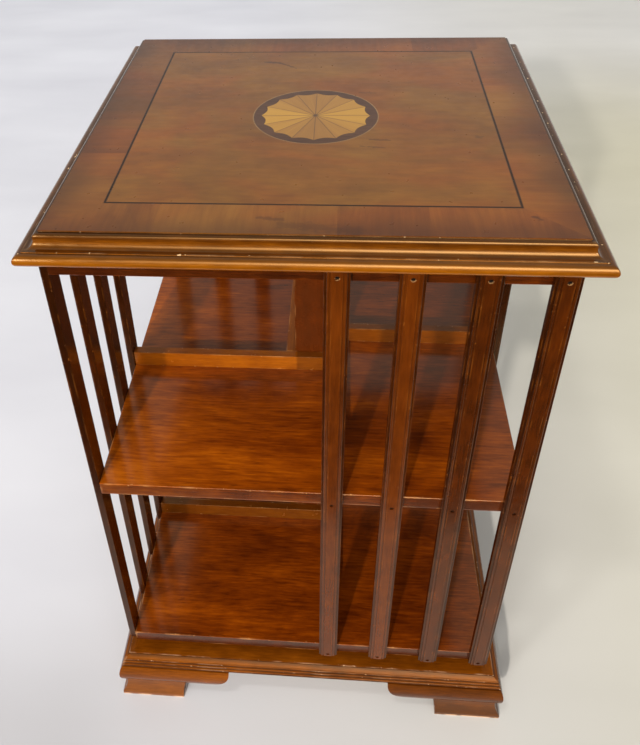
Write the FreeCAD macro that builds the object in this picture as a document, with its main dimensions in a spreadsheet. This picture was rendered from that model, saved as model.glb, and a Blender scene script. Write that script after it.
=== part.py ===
"""A square revolving bookcase of two tiers on bracket feet.

Millimetres, +Z up.  The origin lies on the floor, at the centre of the bookcase and on its swivel axis.
The slatted sides make a pinwheel: each side is the one before it, turned a quarter round the axis.
Every side piece is drawn for the right-hand side, with X outwards, and then turned to its own side.
"""
import FreeCAD, Part
import math
import os
import re
import Sketcher
from FreeCAD import Placement, Rotation, Vector

# ---------------------------------------------------------------- sizes
SIZES = {
    # feet and plinth
    "foot_height": 60.0,            # floor to the underside of the plinth
    "foot_set_out": 5.1,            # outermost reed to the outside of a foot at the floor
    "foot_stock": 22.5,             # thickness of a foot board at the floor
    "foot_block_length": 81.0,      # standing part of a foot, along the side
    "foot_block_flare": 6.0,        # how much longer the standing part is at its top
    "foot_block_end_radius": 90.0,  # the slight curve of its end
    "foot_length": 144.0,           # whole length of a foot, along the side
    "foot_wing_depth": 26.5,        # depth of the wing below the plinth, and the radius of its tip
    "foot_lip_height": 5.0,         # upright lip at the floor
    "foot_hollow_inset": 5.5,       # lip to the narrowest line of the foot, under the bulge
    "foot_bulge_inset": 2.5,        # lip to the lower line of the bulge
    "foot_head_inset": 4.5,         # lip to the top line of the foot
    "foot_hollow_radius": 30.0,
    "foot_bulge_radius": 30.0,
    "glue_block_width": 24.0,
    "glue_block_lift": 8.0,         # floor to the underside of a glue block
    "plinth_set_out": 10.0,         # edge of the boards to the upper arris of the plinth
    "plinth_frame_width": 45.0,     # flat width of the frame, arris to panel
    "plinth_edge": 1.4,             # upright edge under the arris
    "plinth_bevel_height": 3.4,
    "plinth_bevel_width": 4.4,
    "reed_radius": 2.2,
    "reed_step": 1.4,               # each reed stands out this much further than the one above
    "tongue_length": 8.0,
    "tongue_thickness": 6.0,
    "joint_clearance": 0.2,         # wood joints, on each side
    # swivel
    "spindle_radius": 8.0,
    "spindle_thread_radius": 6.0,
    "spindle_tip": 1.7,             # thread that shows above the nut
    "running_clearance": 0.05,      # spindle in its bushes
    "end_play": 0.3,                # upper bush to the washer above it
    "flange_width": 100.0,
    "flange_thickness": 4.0,
    "flange_hub_radius": 13.0,
    "flange_hub_depth": 12.0,
    "flange_screw_offset": 38.0,
    "bearing_height": 10.0,
    "race_thickness": 3.2,
    "race_outer_radius": 21.0,
    "lower_race_bore": 8.5,
    "upper_race_bore": 9.5,
    "ball_radius": 3.0,
    "ball_circle_radius": 15.0,
    "ball_clearance": 0.3,          # ball to its groove, and ball to its cage
    "ball_count": 10,
    "cage_thickness": 1.4,
    "cage_inner_radius": 10.8,
    "cage_outer_radius": 19.2,
    "bearing_plate_width": 80.0,
    "bearing_plate_thickness": 2.0,
    "bearing_plate_screw_offset": 32.0,
    "bush_radius": 12.0,
    "bush_length": 12.0,
    "bush_flange_radius": 16.0,
    "bush_flange_thickness": 1.5,
    "washer_radius": 12.0,
    "washer_thickness": 2.5,
    "nut_across_corners": 21.9,
    "nut_height": 10.0,
    "nut_recess_radius": 22.0,
    "nut_recess_depth": 17.0,
    # carcass
    "board_half": 220.0,            # axis to the edge of the three boards
    "board_thickness": 16.0,        # bottom board and middle shelf
    "top_board_thickness": 20.0,
    "lower_tier_height": 273.0,
    "upper_tier_height": 272.0,
    "column_half": 22.5,            # axis to the outside of the boxed column
    "column_stock": 10.0,
    "column_housing": 4.0,          # depth of the housings that take the column's ends
    "rail_thickness": 11.0,
    "rail_height": 20.5,
    # slats
    "slat_count": 4,
    "slat_width": 22.0,
    "slat_thickness": 9.0,
    "slat_corner_inset": 12.0,      # edge of the boards to the centre of the side's last slat
    "slat_first": 25.0,             # centre line of the side to the centre of its first slat
    "slat_foot_gap": 3.5,           # underside of the bottom board up to the slat's lower end
    "slat_face_width": 11.0,        # flat band down the middle
    "slat_quirk_width": 1.1,        # narrow groove each side of the band
    "slat_quirk_depth": 1.5,
    "slat_bead_width": 2.6,
    "slat_bead_drop": 0.4,          # the beads stand back from the band
    "slat_edge_drop": 2.0,          # the outer edges stand back from the band
    # screws
    "slat_screw_radius": 1.6,
    "slat_screw_head_radius": 2.3,
    "slat_screw_head_height": 1.8,
    "slat_screw_sink": 1.2,         # head below the face of the slat
    "slat_screw_length": 25.0,
    "slat_screw_drop": 11.0,        # underside of the table top to the upper screw
    "screw_radius": 2.0,
    "screw_head_radius": 4.0,
    "screw_head_height": 2.0,
    "screw_clearance": 0.1,
    "flange_screw_length": 16.0,
    "plate_screw_length": 13.0,
    "table_screw_length": 36.0,
    "table_screw_inset": 70.0,      # edge of the boards to the outer screws
    # table top
    "table_overhang": 20.0,         # edge of the boards to the outside of the torus
    "veneer_thickness": 0.8,
    "veneer_joint": 0.04,           # each strip of veneer stops this far short of its mitre
    "moulding_stock": 20.0,         # flat width of the moulding, arris to core
    "moulding_step": 0.8,           # step under the veneer
    "moulding_step_width": 1.5,
    "ovolo_radius": 3.0,
    "band_height": 2.8,
    "cove_radius": 5.7,
    "ledge_width": 3.0,
    "ledge_drop": 0.9,
    "torus_set_out": 1.3,
    "torus_radius": 5.5,
    "crossband_width": 44.5,
    "stringing_width": 1.5,
    # fan inlay
    "patera_line_radius": 63.3,     # outside of the pale line
    "patera_line_width": 1.0,
    "fan_tip_radius": 54.8,
    "fan_hollow_radius": 50.8,      # axis to the middle of a scallop
    "fan_wedges": 16,
}

# Sizes that follow from the ones above.
DERIVED = {
    "plinth_thickness": "plinth_edge + plinth_bevel_height + 6 * reed_radius",
    "plinth_top": "foot_height + plinth_thickness",
    "plinth_flat_half": "board_half + plinth_set_out",
    "panel_half": "plinth_flat_half - plinth_frame_width",
    "tongue_base": "foot_height + (plinth_thickness - tongue_thickness) / 2",
    "flange_top": "plinth_top + flange_thickness",
    "carcass_base": "flange_top + bearing_height + bearing_plate_thickness",
    "ball_level": "flange_top + bearing_height / 2",
    "groove_radius": "ball_radius + ball_clearance",
    "groove_lift": "bearing_height / 2 - race_thickness",
    "groove_half": "sqrt(groove_radius * groove_radius - groove_lift * groove_lift)",
    "bottom_board_top": "carcass_base + board_thickness",
    "shelf_base": "bottom_board_top + lower_tier_height",
    "shelf_top": "shelf_base + board_thickness",
    "top_board_base": "shelf_top + upper_tier_height",
    "table_base": "top_board_base + top_board_thickness",
    "shoulder_level": "table_base + bush_flange_thickness + end_play",
    "nut_base": "shoulder_level + washer_thickness",
    "spindle_top": "nut_base + nut_height + spindle_tip",
    "spindle_base": "plinth_top - flange_hub_depth",
    "moulding_height": "moulding_step + ovolo_radius + band_height + cove_radius + ledge_drop"
                       " + 2 * torus_radius",
    "veneer_base": "table_base + moulding_height",
    "table_height": "veneer_base + veneer_thickness",
    "table_half": "board_half + table_overhang",
    "torus_line": "table_half - torus_radius",
    "ledge_line": "torus_line - torus_set_out",
    "ovolo_line": "ledge_line - ledge_width - cove_radius",
    "table_flat_half": "ovolo_line - ovolo_radius - moulding_step_width",
    "core_half": "table_flat_half - moulding_stock",
    "string_half": "table_flat_half - crossband_width",
    "field_half": "string_half - stringing_width",
    "table_screw_offset": "board_half - table_screw_inset",
    "reed_line": "plinth_flat_half + plinth_bevel_width",
    "plinth_half": "reed_line + 2 * reed_step + reed_radius",
    "foot_half_span": "plinth_half + foot_set_out",
    "foot_wing_gap_half": "foot_half_span - foot_length",
    "foot_hollow_line": "foot_half_span - foot_hollow_inset",
    "foot_wing_level": "foot_height - foot_wing_depth",
    "foot_inner_line": "foot_half_span - foot_stock",
    "slat_base": "carcass_base + slat_foot_gap",
    "slat_length": "table_base - slat_base",
    "slat_pitch": "(board_half - slat_corner_inset - slat_first) / (slat_count - 1)",
    "slat_bead_line": "slat_face_width / 2 + slat_quirk_width",
    "slat_edge_line": "slat_bead_line + slat_bead_width",
    "fan_ground_radius": "patera_line_radius - patera_line_width",
}

SIDES = ("right", "rear", "left", "front")      # each a quarter turn on from the one before
SLAT_SCREW_LEVELS = ("bottom_board_top - board_thickness / 2", "shelf_top - board_thickness / 2",
                     "table_base - slat_screw_drop")
SKETCH_MARGIN = 1.0                             # cutting outlines run this far past the wood
NAME = re.compile(r"[a-z][a-z_]*")

doc = FreeCAD.newDocument("RevolvingBookcase")
sheet = doc.addObject("Spreadsheet::Sheet", "Sizes")
for row, (alias, number) in enumerate(SIZES.items(), start=1):
    sheet.set(f"A{row}", alias)
    sheet.set(f"B{row}", str(number))
    sheet.setAlias(f"B{row}", alias)
doc.recompute()

nodes = []


# ---------------------------------------------------------------- small helpers
def formula(words):
    """The sheet expression for a size, with each derived size written out."""
    def written_out(match):
        name = match[0]
        if name in DERIVED:
            return f"({formula(DERIVED[name])})"
        return f"Sizes.{name}" if name in SIZES else name
    return NAME.sub(written_out, words)


def size(words):
    return float(sheet.evalExpression(formula(words)))


def bind(thing, **sizes):
    for name, words in sizes.items():
        thing.setExpression(name, formula(words))


def place(thing, turn=0, out="0", along="0", up="0"):
    """Turn a thing by quarters and set its place, from a spot given for the right-hand side."""
    cosine = (1, 0, -1, 0)[turn]
    sine = (0, 1, 0, -1)[turn]
    thing.Placement = Placement(Vector(), Rotation(Vector(0, 0, 1), 90 * turn))
    thing.setExpression("Placement.Base.x", formula(f"{cosine} * ({out}) - {sine} * ({along})"))
    thing.setExpression("Placement.Base.y", formula(f"{sine} * ({out}) + {cosine} * ({along})"))
    thing.setExpression("Placement.Base.z", formula(up))


def keep(thing, label):
    """Name a finished sub-part."""
    thing.Label = label
    nodes.append(thing)
    return thing


def box(name, length, width, height):
    block = doc.addObject("Part::Box", name)
    bind(block, Length=length, Width=width, Height=height)
    return block


def square_board(name, half, thickness, base):
    board = box(name, f"2 * ({half})", f"2 * ({half})", thickness)
    place(board, out=f"-({half})", along=f"-({half})", up=base)
    return board


def cylinder(name, radius, height, base):
    rod = doc.addObject("Part::Cylinder", name)
    bind(rod, Radius=radius, Height=height)
    place(rod, up=base)
    return rod


def cut(name, base, *tools):
    """Take each tool away from the base in turn."""
    for number, tool in enumerate(tools, start=1):
        result = doc.addObject("Part::Cut", f"{name}_cut_{number}")
        result.Base = base
        result.Tool = tool
        base = result
    return base


def group(name, pieces):
    """Separate solids that share one name."""
    compound = doc.addObject("Part::Compound", name)
    compound.Links = pieces
    return compound


def loose_shapes(name, shapes):
    """A set of like solids, worked out from the sheet's numbers."""
    feature = doc.addObject("Part::Feature", name)
    feature.Shape = Part.makeCompound(shapes)
    return feature


# ---------------------------------------------------------------- sketched bodies
def new_body(name):
    return doc.addObject("PartDesign::Body", name)


def new_sketch(body, role):
    """A sketch on one of the body's own origin planes."""
    sketch = body.newObject("Sketcher::SketchObject", f"{body.Name}_sketch")
    plane = next(feature for feature in body.Origin.OriginFeatures if feature.Role == role)
    sketch.AttachmentSupport = (plane, [""])
    sketch.MapMode = "FlatFace"
    return sketch


def arc_between(start, end, radius):
    """The short arc from start to end; a positive radius turns left on the way."""
    chord = end - start
    left = Vector(-chord.y, chord.x, 0).normalize()
    rise = math.sqrt(max(radius * radius - chord.Length ** 2 / 4, 0.0))
    centre = (start + end) / 2 + left * math.copysign(rise, radius)
    first, last = (start, end) if radius > 0 else (end, start)
    circle = Part.Circle(centre, Vector(0, 0, 1), abs(radius))
    first_angle = math.atan2(first.y - centre.y, first.x - centre.x)
    last_angle = math.atan2(last.y - centre.y, last.x - centre.x)
    return Part.ArcOfCircle(circle, first_angle, last_angle)


def outline(sketch, corners):
    """Draw a closed outline whose corners are bound to the sheet.

    A corner is (x, y), or (x, y, radius) where the edge that leaves it is an arc, which turns
    left for a positive radius and right for one with a minus sign.
    """
    points = [Vector(size(corner[0]), size(corner[1]), 0) for corner in corners]
    first_edge = sketch.GeometryCount
    starts = []
    for number, corner in enumerate(corners):
        start = points[number]
        end = points[(number + 1) % len(points)]
        if len(corner) == 2:
            edge = sketch.addGeometry(Part.LineSegment(start, end))
            starts.append((edge, 1, 2))
            continue
        radius = size(corner[2])
        edge = sketch.addGeometry(arc_between(start, end, radius))
        starts.append((edge, 1, 2) if radius > 0 else (edge, 2, 1))
        constraint = sketch.addConstraint(Sketcher.Constraint("Radius", edge, abs(radius)))
        sketch.renameConstraint(constraint, f"radius_{edge}")
        sketch.setExpression(f"Constraints.radius_{edge}", formula(f"abs({corner[2]})"))
    for number, (edge, start_end, far_end) in enumerate(starts):
        next_edge, next_start, _ = starts[(number + 1) % len(starts)]
        sketch.addConstraint(Sketcher.Constraint("Coincident", edge, far_end, next_edge, next_start))
        for axis, words in zip("XY", corners[number][:2]):
            kind = f"Distance{axis}"
            reach = getattr(points[number], axis.lower())
            constraint = sketch.addConstraint(Sketcher.Constraint(kind, edge, start_end, reach))
            label = f"corner_{first_edge + number}_{axis.lower()}"
            sketch.renameConstraint(constraint, label)
            sketch.setExpression(f"Constraints.{label}", formula(words))


def circles(sketch, centres, radius):
    """Bound circles; a centre is (x, y) in words."""
    for across, upward in centres:
        middle = Vector(size(across), size(upward), 0)
        ring = sketch.addGeometry(Part.Circle(middle, Vector(0, 0, 1), size(radius)))
        for kind, words in (("DistanceX", across), ("DistanceY", upward)):
            constraint = sketch.addConstraint(Sketcher.Constraint(kind, ring, 3, size(words)))
            label = f"{kind.lower()}_{ring}"
            sketch.renameConstraint(constraint, label)
            sketch.setExpression(f"Constraints.{label}", formula(words))
        constraint = sketch.addConstraint(Sketcher.Constraint("Radius", ring, size(radius)))
        sketch.renameConstraint(constraint, f"radius_{ring}")
        sketch.setExpression(f"Constraints.radius_{ring}", formula(radius))


def pad(body, sketch, length, symmetric=False, backwards=False):
    feature = body.newObject("PartDesign::Pad", f"{body.Name}_pad")
    feature.Profile = sketch
    feature.SideType = "Symmetric" if symmetric else "One side"
    feature.Reversed = backwards
    bind(feature, Length=length)
    return feature


def pocket_through(body, sketch):
    feature = body.newObject("PartDesign::Pocket", f"{body.Name}_pocket")
    feature.Profile = sketch
    feature.Type = "ThroughAll"
    feature.SideType = "Symmetric"
    return feature


def revolve(body, sketch):
    """Turn a section drawn on the XZ plane about the upright axis."""
    feature = body.newObject("PartDesign::Revolution", f"{body.Name}_revolution")
    feature.Profile = sketch
    feature.ReferenceAxis = (sketch, ["V_Axis"])
    feature.Angle = 360
    return feature


def turned_body(name, section):
    body = new_body(name)
    sketch = new_sketch(body, "XZ_Plane")
    outline(sketch, section)
    revolve(body, sketch)
    return body


def mitred_length(name, section, inner, outer, turn, shy="0"):
    """One side of a square frame: a moulded section, mitred at both ends, just shy of the next side."""
    body = new_body(name)
    section_sketch = new_sketch(body, "XZ_Plane")
    outline(section_sketch, section)
    pad(body, section_sketch, f"2 * ({outer})", symmetric=True)
    mitre_sketch = new_sketch(body, "XY_Plane")
    low = f"{inner} - {SKETCH_MARGIN}"
    high = f"{outer} + {SKETCH_MARGIN}"
    for end in ("", "-"):
        near = f"{end}({low} - {shy})"
        far = f"{end}({high} - {shy})"
        outline(mitre_sketch, [(low, near), (high, far), (low, far)])
    pocket_through(body, mitre_sketch)
    place(body, turn)
    return body


# ---------------------------------------------------------------- screws
def countersunk_screw(length, radius, head_radius, head_height, spare=0.0):
    """A screw along +Z, its head's face at the origin; spare makes it the tool for its own hole."""
    shank = Part.makeCylinder(radius + spare, length + spare, Vector(0, 0, 0))
    head = Part.makeCone(head_radius + spare, radius + spare, head_height)
    return shank.fuse(head)


def placed_screws(screw, spots, direction):
    """Copies of a screw at each spot, pointing along the direction."""
    turn = Rotation(Vector(0, 0, 1), direction)
    return [screw.transformed(Placement(Vector(*spot), turn).toMatrix()) for spot in spots]


def corner_spots(offset, level):
    return [(x * offset, y * offset, level) for x in (-1, 1) for y in (-1, 1)]


def at_slat_screws(shape):
    """Copies of a shape, one for each slat at each board, with its +Z axis turned into the slat."""
    face = size("board_half + slat_thickness - slat_screw_sink")
    copies = []
    for turn in range(len(SIDES)):
        for number in range(int(size("slat_count"))):
            along = size(f"slat_first + {number} * slat_pitch")
            spots = [(face, along, size(level)) for level in SLAT_SCREW_LEVELS]
            for copy in placed_screws(shape, spots, Vector(-1, 0, 0)):
                copy.rotate(Vector(0, 0, 0), Vector(0, 0, 1), 90 * turn)
                copies.append(copy)
    return copies


def slat_screws(spare=0.0):
    """One screw through each slat into the edge of each board."""
    return at_slat_screws(countersunk_screw(size("slat_screw_length"), size("slat_screw_radius"),
                                            size("slat_screw_head_radius"),
                                            size("slat_screw_head_height"), spare))


def slat_screw_sinkings():
    """The short round wells that let the heads in below the faces of the slats."""
    depth = size("slat_screw_sink + screw_clearance")
    return at_slat_screws(Part.makeCylinder(size("slat_screw_head_radius + screw_clearance"), depth,
                                            Vector(0, 0, -depth)))


def wood_screws(length, spots, direction, spare=0.0):
    screw = countersunk_screw(length, size("screw_radius"), size("screw_head_radius"),
                              size("screw_head_height"), spare)
    return placed_screws(screw, spots, direction)


# ---------------------------------------------------------------- feet
def foot_board(name, hand, turn):
    """Half of a bracket foot; hand is 1 for the board at the far end of its side, -1 for the near."""
    body = new_body(name)
    section = new_sketch(body, "XZ_Plane")
    outline(section, [
        ("foot_inner_line", "0"),
        ("foot_half_span", "0"),
        ("foot_half_span", "foot_lip_height", "-foot_hollow_radius"),
        ("foot_hollow_line", "foot_wing_level"),
        ("foot_half_span - foot_bulge_inset", "foot_wing_level", "foot_bulge_radius"),
        ("foot_half_span - foot_head_inset", "foot_height"),
        ("foot_inner_line", "foot_height"),
    ])
    pad(body, section, "foot_half_span", backwards=hand > 0)
    bracket = new_sketch(body, "YZ_Plane")
    block_end = "foot_half_span - foot_block_length"
    tip = "foot_wing_gap_half"
    below = f"-{SKETCH_MARGIN}"
    above = f"foot_height + {SKETCH_MARGIN}"
    outline(bracket, [
        (f"{-hand * SKETCH_MARGIN}", below),
        (f"{hand} * ({block_end})", below),
        (f"{hand} * ({block_end})", "0", f"{hand} * foot_block_end_radius"),
        (f"{hand} * ({block_end} - foot_block_flare)", "foot_wing_level"),
        (f"{hand} * ({tip} + foot_wing_depth)", "foot_wing_level", f"{-hand} * foot_wing_depth"),
        (f"{hand} * {tip}", "foot_height"),
        (f"{hand} * {tip}", above),
        (f"{-hand * SKETCH_MARGIN}", above),
    ])
    pocket_through(body, bracket)
    mitre = new_sketch(body, "XY_Plane")
    low = f"foot_inner_line - {SKETCH_MARGIN}"
    high = f"foot_half_span + {SKETCH_MARGIN}"
    outline(mitre, [(low, f"{hand} * ({low})"), (high, f"{hand} * ({high})"), (low, f"{hand} * ({high})")])
    pocket_through(body, mitre)
    place(body, turn)
    return body


def make_feet():
    """Each foot is two boards mitred at its corner, one on each of the sides that meet there."""
    for label, side, next_side in (("front_left", 2, 3), ("front_right", 3, 0),
                                   ("rear_right", 0, 1), ("rear_left", 1, 2)):
        ahead = foot_board(f"foot_{label}_a", 1, side)
        behind = foot_board(f"foot_{label}_b", -1, next_side)
        keep(group(f"foot_{label}_pair", [ahead, behind]), f"foot_{label}")
    blocks = []
    for turn in range(len(SIDES)):
        block = box(f"glue_block_{turn}", "glue_block_width", "glue_block_width",
                    "foot_height - glue_block_lift")
        corner = "foot_inner_line - glue_block_width"
        place(block, turn, out=corner, along=corner, up="glue_block_lift")
        blocks.append(block)
    keep(group("glue_block_set", blocks), "foot_glue_blocks")


# ---------------------------------------------------------------- plinth
def make_plinth():
    """A mitred frame with three reeds round its edge, and a panel tongued into it."""
    groove_length = "(tongue_length + joint_clearance)"
    groove_base = "tongue_base - joint_clearance"
    groove_top = "tongue_base + tongue_thickness + joint_clearance"
    section = [("panel_half", "foot_height")]
    for number in (2, 1, 0):
        line = f"reed_line + {number} * reed_step"
        level = f"foot_height + {2 * (2 - number)} * reed_radius"
        section.append((line, level, "reed_radius"))
        section.append((f"{line} + reed_radius", f"{level} + reed_radius", "reed_radius"))
        section.append((line, f"{level} + 2 * reed_radius"))
    section += [
        ("plinth_flat_half", "plinth_top - plinth_edge"),
        ("plinth_flat_half", "plinth_top"),
        ("panel_half", "plinth_top"),
        ("panel_half", groove_top),
        (f"panel_half + {groove_length}", groove_top),
        (f"panel_half + {groove_length}", groove_base),
        ("panel_half", groove_base),
    ]
    lengths = [mitred_length(f"plinth_length_{turn}", section, "panel_half", "plinth_half", turn)
               for turn in range(len(SIDES))]
    keep(group("plinth_lengths", lengths), "plinth_frame")

    field = square_board("panel_field", "panel_half", "plinth_thickness", "foot_height")
    tongue = square_board("panel_tongue", "panel_half + tongue_length", "tongue_thickness", "tongue_base")
    panel = doc.addObject("Part::Fuse", "panel_with_tongue")
    panel.Base = field
    panel.Tool = tongue
    hub_bore = cylinder("hub_bore", "flange_hub_radius + joint_clearance", "plinth_thickness",
                        "foot_height")
    screw_bores = loose_shapes("flange_screw_bores", flange_screws(size("screw_clearance")))
    keep(cut("panel", panel, hub_bore, screw_bores), "plinth_panel")


# ---------------------------------------------------------------- swivel
def flange_screws(spare=0.0):
    spots = corner_spots(size("flange_screw_offset"), size("flange_top"))
    return wood_screws(size("flange_screw_length"), spots, Vector(0, 0, -1), spare)


def plate_screws(spare=0.0):
    level = size("carcass_base - bearing_plate_thickness")
    spots = corner_spots(size("bearing_plate_screw_offset"), level)
    return wood_screws(size("plate_screw_length"), spots, Vector(0, 0, 1), spare)


def race(name, bore, groove_at_top):
    """A ring with a round groove for the balls, drawn from the flat face that it is seated on."""
    up = "" if groove_at_top else "-"
    turn = "-" if groove_at_top else ""
    body = turned_body(name, [
        (bore, "0"),
        ("race_outer_radius", "0"),
        ("race_outer_radius", f"{up}race_thickness"),
        ("ball_circle_radius + groove_half", f"{up}race_thickness", f"{turn}groove_radius"),
        ("ball_circle_radius - groove_half", f"{up}race_thickness"),
        (bore, f"{up}race_thickness"),
    ])
    place(body, up="flange_top" if groove_at_top else "flange_top + bearing_height")
    return body


def make_cage():
    """A thin ring with a round window for each ball."""
    body = new_body("cage")
    ring = new_sketch(body, "XY_Plane")
    circles(ring, [("0", "0")], "cage_outer_radius")
    circles(ring, [("0", "0")], "cage_inner_radius")
    pad(body, ring, "cage_thickness", symmetric=True)
    window = new_sketch(body, "XY_Plane")
    circles(window, [("ball_circle_radius", "0")], "groove_radius")
    hole = pocket_through(body, window)
    doc.recompute()
    pattern = body.newObject("PartDesign::PolarPattern", "cage_windows")
    pattern.Originals = [hole]
    pattern.Axis = (ring, ["N_Axis"])
    pattern.Angle = 360
    bind(pattern, Occurrences="ball_count")
    body.Tip = pattern
    place(body, up="ball_level")
    keep(body, "ball_cage")


def make_balls():
    balls = []
    count = int(size("ball_count"))
    for number in range(count):
        angle = 2 * math.pi * number / count
        reach = size("ball_circle_radius")
        centre = Vector(reach * math.cos(angle), reach * math.sin(angle), size("ball_level"))
        balls.append(Part.makeSphere(size("ball_radius"), centre))
    keep(loose_shapes("ball_set", balls), "bearing_balls")


def make_bushes():
    """Two like bushes: one hangs in the bottom board, one stands on the top board."""
    bushes = []
    for name, level, flange_up in (("lower_bush", "carcass_base", False), ("upper_bush", "table_base", True)):
        up = "-" if flange_up else ""
        bush = turned_body(name, [
            ("spindle_radius + running_clearance", f"{up}bush_length"),
            ("bush_radius", f"{up}bush_length"),
            ("bush_radius", "0"),
            ("bush_flange_radius", "0"),
            ("bush_flange_radius", f"{'' if flange_up else '-'}bush_flange_thickness"),
            ("spindle_radius + running_clearance", f"{'' if flange_up else '-'}bush_flange_thickness"),
        ])
        place(bush, up=level)
        bushes.append(bush)
    keep(group("bush_pair", bushes), "spindle_bushes")


def make_swivel():
    """A fixed spindle in a screwed flange, a ball bearing on the flange, and a plate above it."""
    plate = square_board("flange_plate", "flange_width / 2", "flange_thickness", "plinth_top")
    hub = cylinder("flange_hub", "flange_hub_radius", "flange_hub_depth", "spindle_base")
    blank = doc.addObject("Part::Fuse", "flange_blank")
    blank.Base = plate
    blank.Tool = hub
    bore = cylinder("flange_bore", "spindle_radius + running_clearance",
                    "flange_hub_depth + flange_thickness", "spindle_base")
    bores = loose_shapes("flange_plate_bores", flange_screws(size("screw_clearance")))
    keep(cut("flange", blank, bore, bores), "spindle_flange")
    keep(loose_shapes("flange_screw_set", flange_screws()), "flange_screws")

    keep(turned_body("spindle_bar", [
        ("0", "spindle_base"),
        ("spindle_radius", "spindle_base"),
        ("spindle_radius", "shoulder_level"),
        ("spindle_thread_radius", "shoulder_level"),
        ("spindle_thread_radius", "spindle_top"),
        ("0", "spindle_top"),
    ]), "spindle")
    keep(race("race_below", "lower_race_bore", True), "lower_race")
    make_balls()
    make_cage()
    keep(race("race_above", "upper_race_bore", False), "upper_race")

    steel = square_board("bearing_steel", "bearing_plate_width / 2", "bearing_plate_thickness",
                         "carcass_base - bearing_plate_thickness")
    flange_seat = cylinder("bush_seat", "bush_flange_radius + joint_clearance", "bearing_plate_thickness",
                           "carcass_base - bearing_plate_thickness")
    plate_bores = loose_shapes("bearing_plate_bores", plate_screws(size("screw_clearance")))
    keep(cut("bearing_plate", steel, flange_seat, plate_bores), "bearing_plate")
    keep(loose_shapes("plate_screw_set", plate_screws()), "bearing_plate_screws")
    make_bushes()

    disc = cylinder("washer_disc", "washer_radius", "washer_thickness", "shoulder_level")
    washer_bore = cylinder("washer_bore", "spindle_thread_radius + running_clearance", "washer_thickness",
                           "shoulder_level")
    keep(cut("washer", disc, washer_bore), "spindle_washer")
    hexagon = doc.addObject("Part::Prism", "nut_blank")
    hexagon.Polygon = 6
    bind(hexagon, Circumradius="nut_across_corners / 2", Height="nut_height")
    place(hexagon, up="nut_base")
    nut_bore = cylinder("nut_bore", "spindle_thread_radius + running_clearance", "nut_height", "nut_base")
    keep(cut("nut", hexagon, nut_bore), "spindle_nut")


# ---------------------------------------------------------------- carcass
def table_screws(spare=0.0):
    """Eight screws up through the top board: one at each corner and one between."""
    offset = size("table_screw_offset")
    steps = (-1, 0, 1)
    spots = [(x * offset, y * offset, size("top_board_base")) for x in steps for y in steps if x or y]
    return wood_screws(size("table_screw_length"), spots, Vector(0, 0, 1), spare)


def make_boards():
    """The bottom board, the middle shelf and the top board, pierced for the column and spindle."""
    edge_bores = loose_shapes("edge_bores", slat_screws(size("screw_clearance")))
    column_fit = "column_half + joint_clearance"

    bottom = square_board("bottom_blank", "board_half", "board_thickness", "carcass_base")
    bottom_housing = square_board("bottom_housing", column_fit, "column_housing",
                                  "bottom_board_top - column_housing")
    bottom_bore = cylinder("bottom_bore", "bush_radius", "board_thickness", "carcass_base")
    plate_bores = loose_shapes("bottom_plate_bores", plate_screws(size("screw_clearance")))
    keep(cut("bottom", bottom, bottom_housing, bottom_bore, plate_bores, edge_bores), "bottom_board")

    shelf = square_board("shelf_blank", "board_half", "board_thickness", "shelf_base")
    shelf_opening = square_board("shelf_opening", column_fit, "board_thickness", "shelf_base")
    keep(cut("shelf", shelf, shelf_opening, edge_bores), "middle_shelf")

    top = square_board("top_blank", "board_half", "top_board_thickness", "top_board_base")
    top_housing = square_board("top_housing", column_fit, "column_housing", "top_board_base")
    top_bore = cylinder("top_bore", "bush_radius", "top_board_thickness", "top_board_base")
    screw_bores = loose_shapes("top_screw_bores", table_screws(size("screw_clearance")))
    keep(cut("top", top, top_housing, top_bore, screw_bores, edge_bores), "top_board")


def make_column():
    """Four boards boxed round the spindle, let into the bottom board and the top board."""
    base = "bottom_board_top - column_housing"
    height = "top_board_base - bottom_board_top + 2 * column_housing"
    for turn, side in enumerate(SIDES):
        half = "column_half" if side in ("front", "rear") else "column_half - column_stock"
        board = box(f"column_board_{turn}", "column_stock", f"2 * ({half})", height)
        place(board, turn, out="column_half - column_stock", along=f"-({half})", up=base)
        keep(board, f"column_{side}")


def make_rails():
    """Low book stops, four on each tier, from the column to the first slat of each side."""
    for tier, level in (("lower", "bottom_board_top"), ("upper", "shelf_top")):
        for turn, side in enumerate(SIDES):
            rail = box(f"{tier}_rail_bar_{turn}", "board_half + column_half", "rail_thickness", "rail_height")
            place(rail, turn, out="-column_half", along="column_half", up=level)
            keep(rail, f"{tier}_rail_{side}")


def slat(name, turn, number):
    """An upright moulded slat, with a flat band between two quirks and two beads."""
    body = new_body(name)
    section = new_sketch(body, "XY_Plane")
    band = "slat_thickness"
    quirk = "slat_thickness - slat_quirk_depth"
    bead = "slat_thickness - slat_bead_drop"
    edge = "slat_thickness - slat_edge_drop"
    bead_radius = "slat_bead_width"
    outline(section, [
        ("0", "-slat_width / 2"),
        (edge, "-slat_width / 2"),
        (edge, "-slat_edge_line"),
        (bead, "-slat_edge_line", bead_radius),
        (bead, "-slat_bead_line"),
        (quirk, "-slat_bead_line"),
        (quirk, "-slat_face_width / 2"),
        (band, "-slat_face_width / 2"),
        (band, "slat_face_width / 2"),
        (quirk, "slat_face_width / 2"),
        (quirk, "slat_bead_line"),
        (bead, "slat_bead_line", bead_radius),
        (bead, "slat_edge_line"),
        (edge, "slat_edge_line"),
        (edge, "slat_width / 2"),
        ("0", "slat_width / 2"),
    ])
    pad(body, section, "slat_length")
    place(body, turn, out="board_half", along=f"slat_first + {number} * slat_pitch", up="slat_base")
    return body


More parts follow.
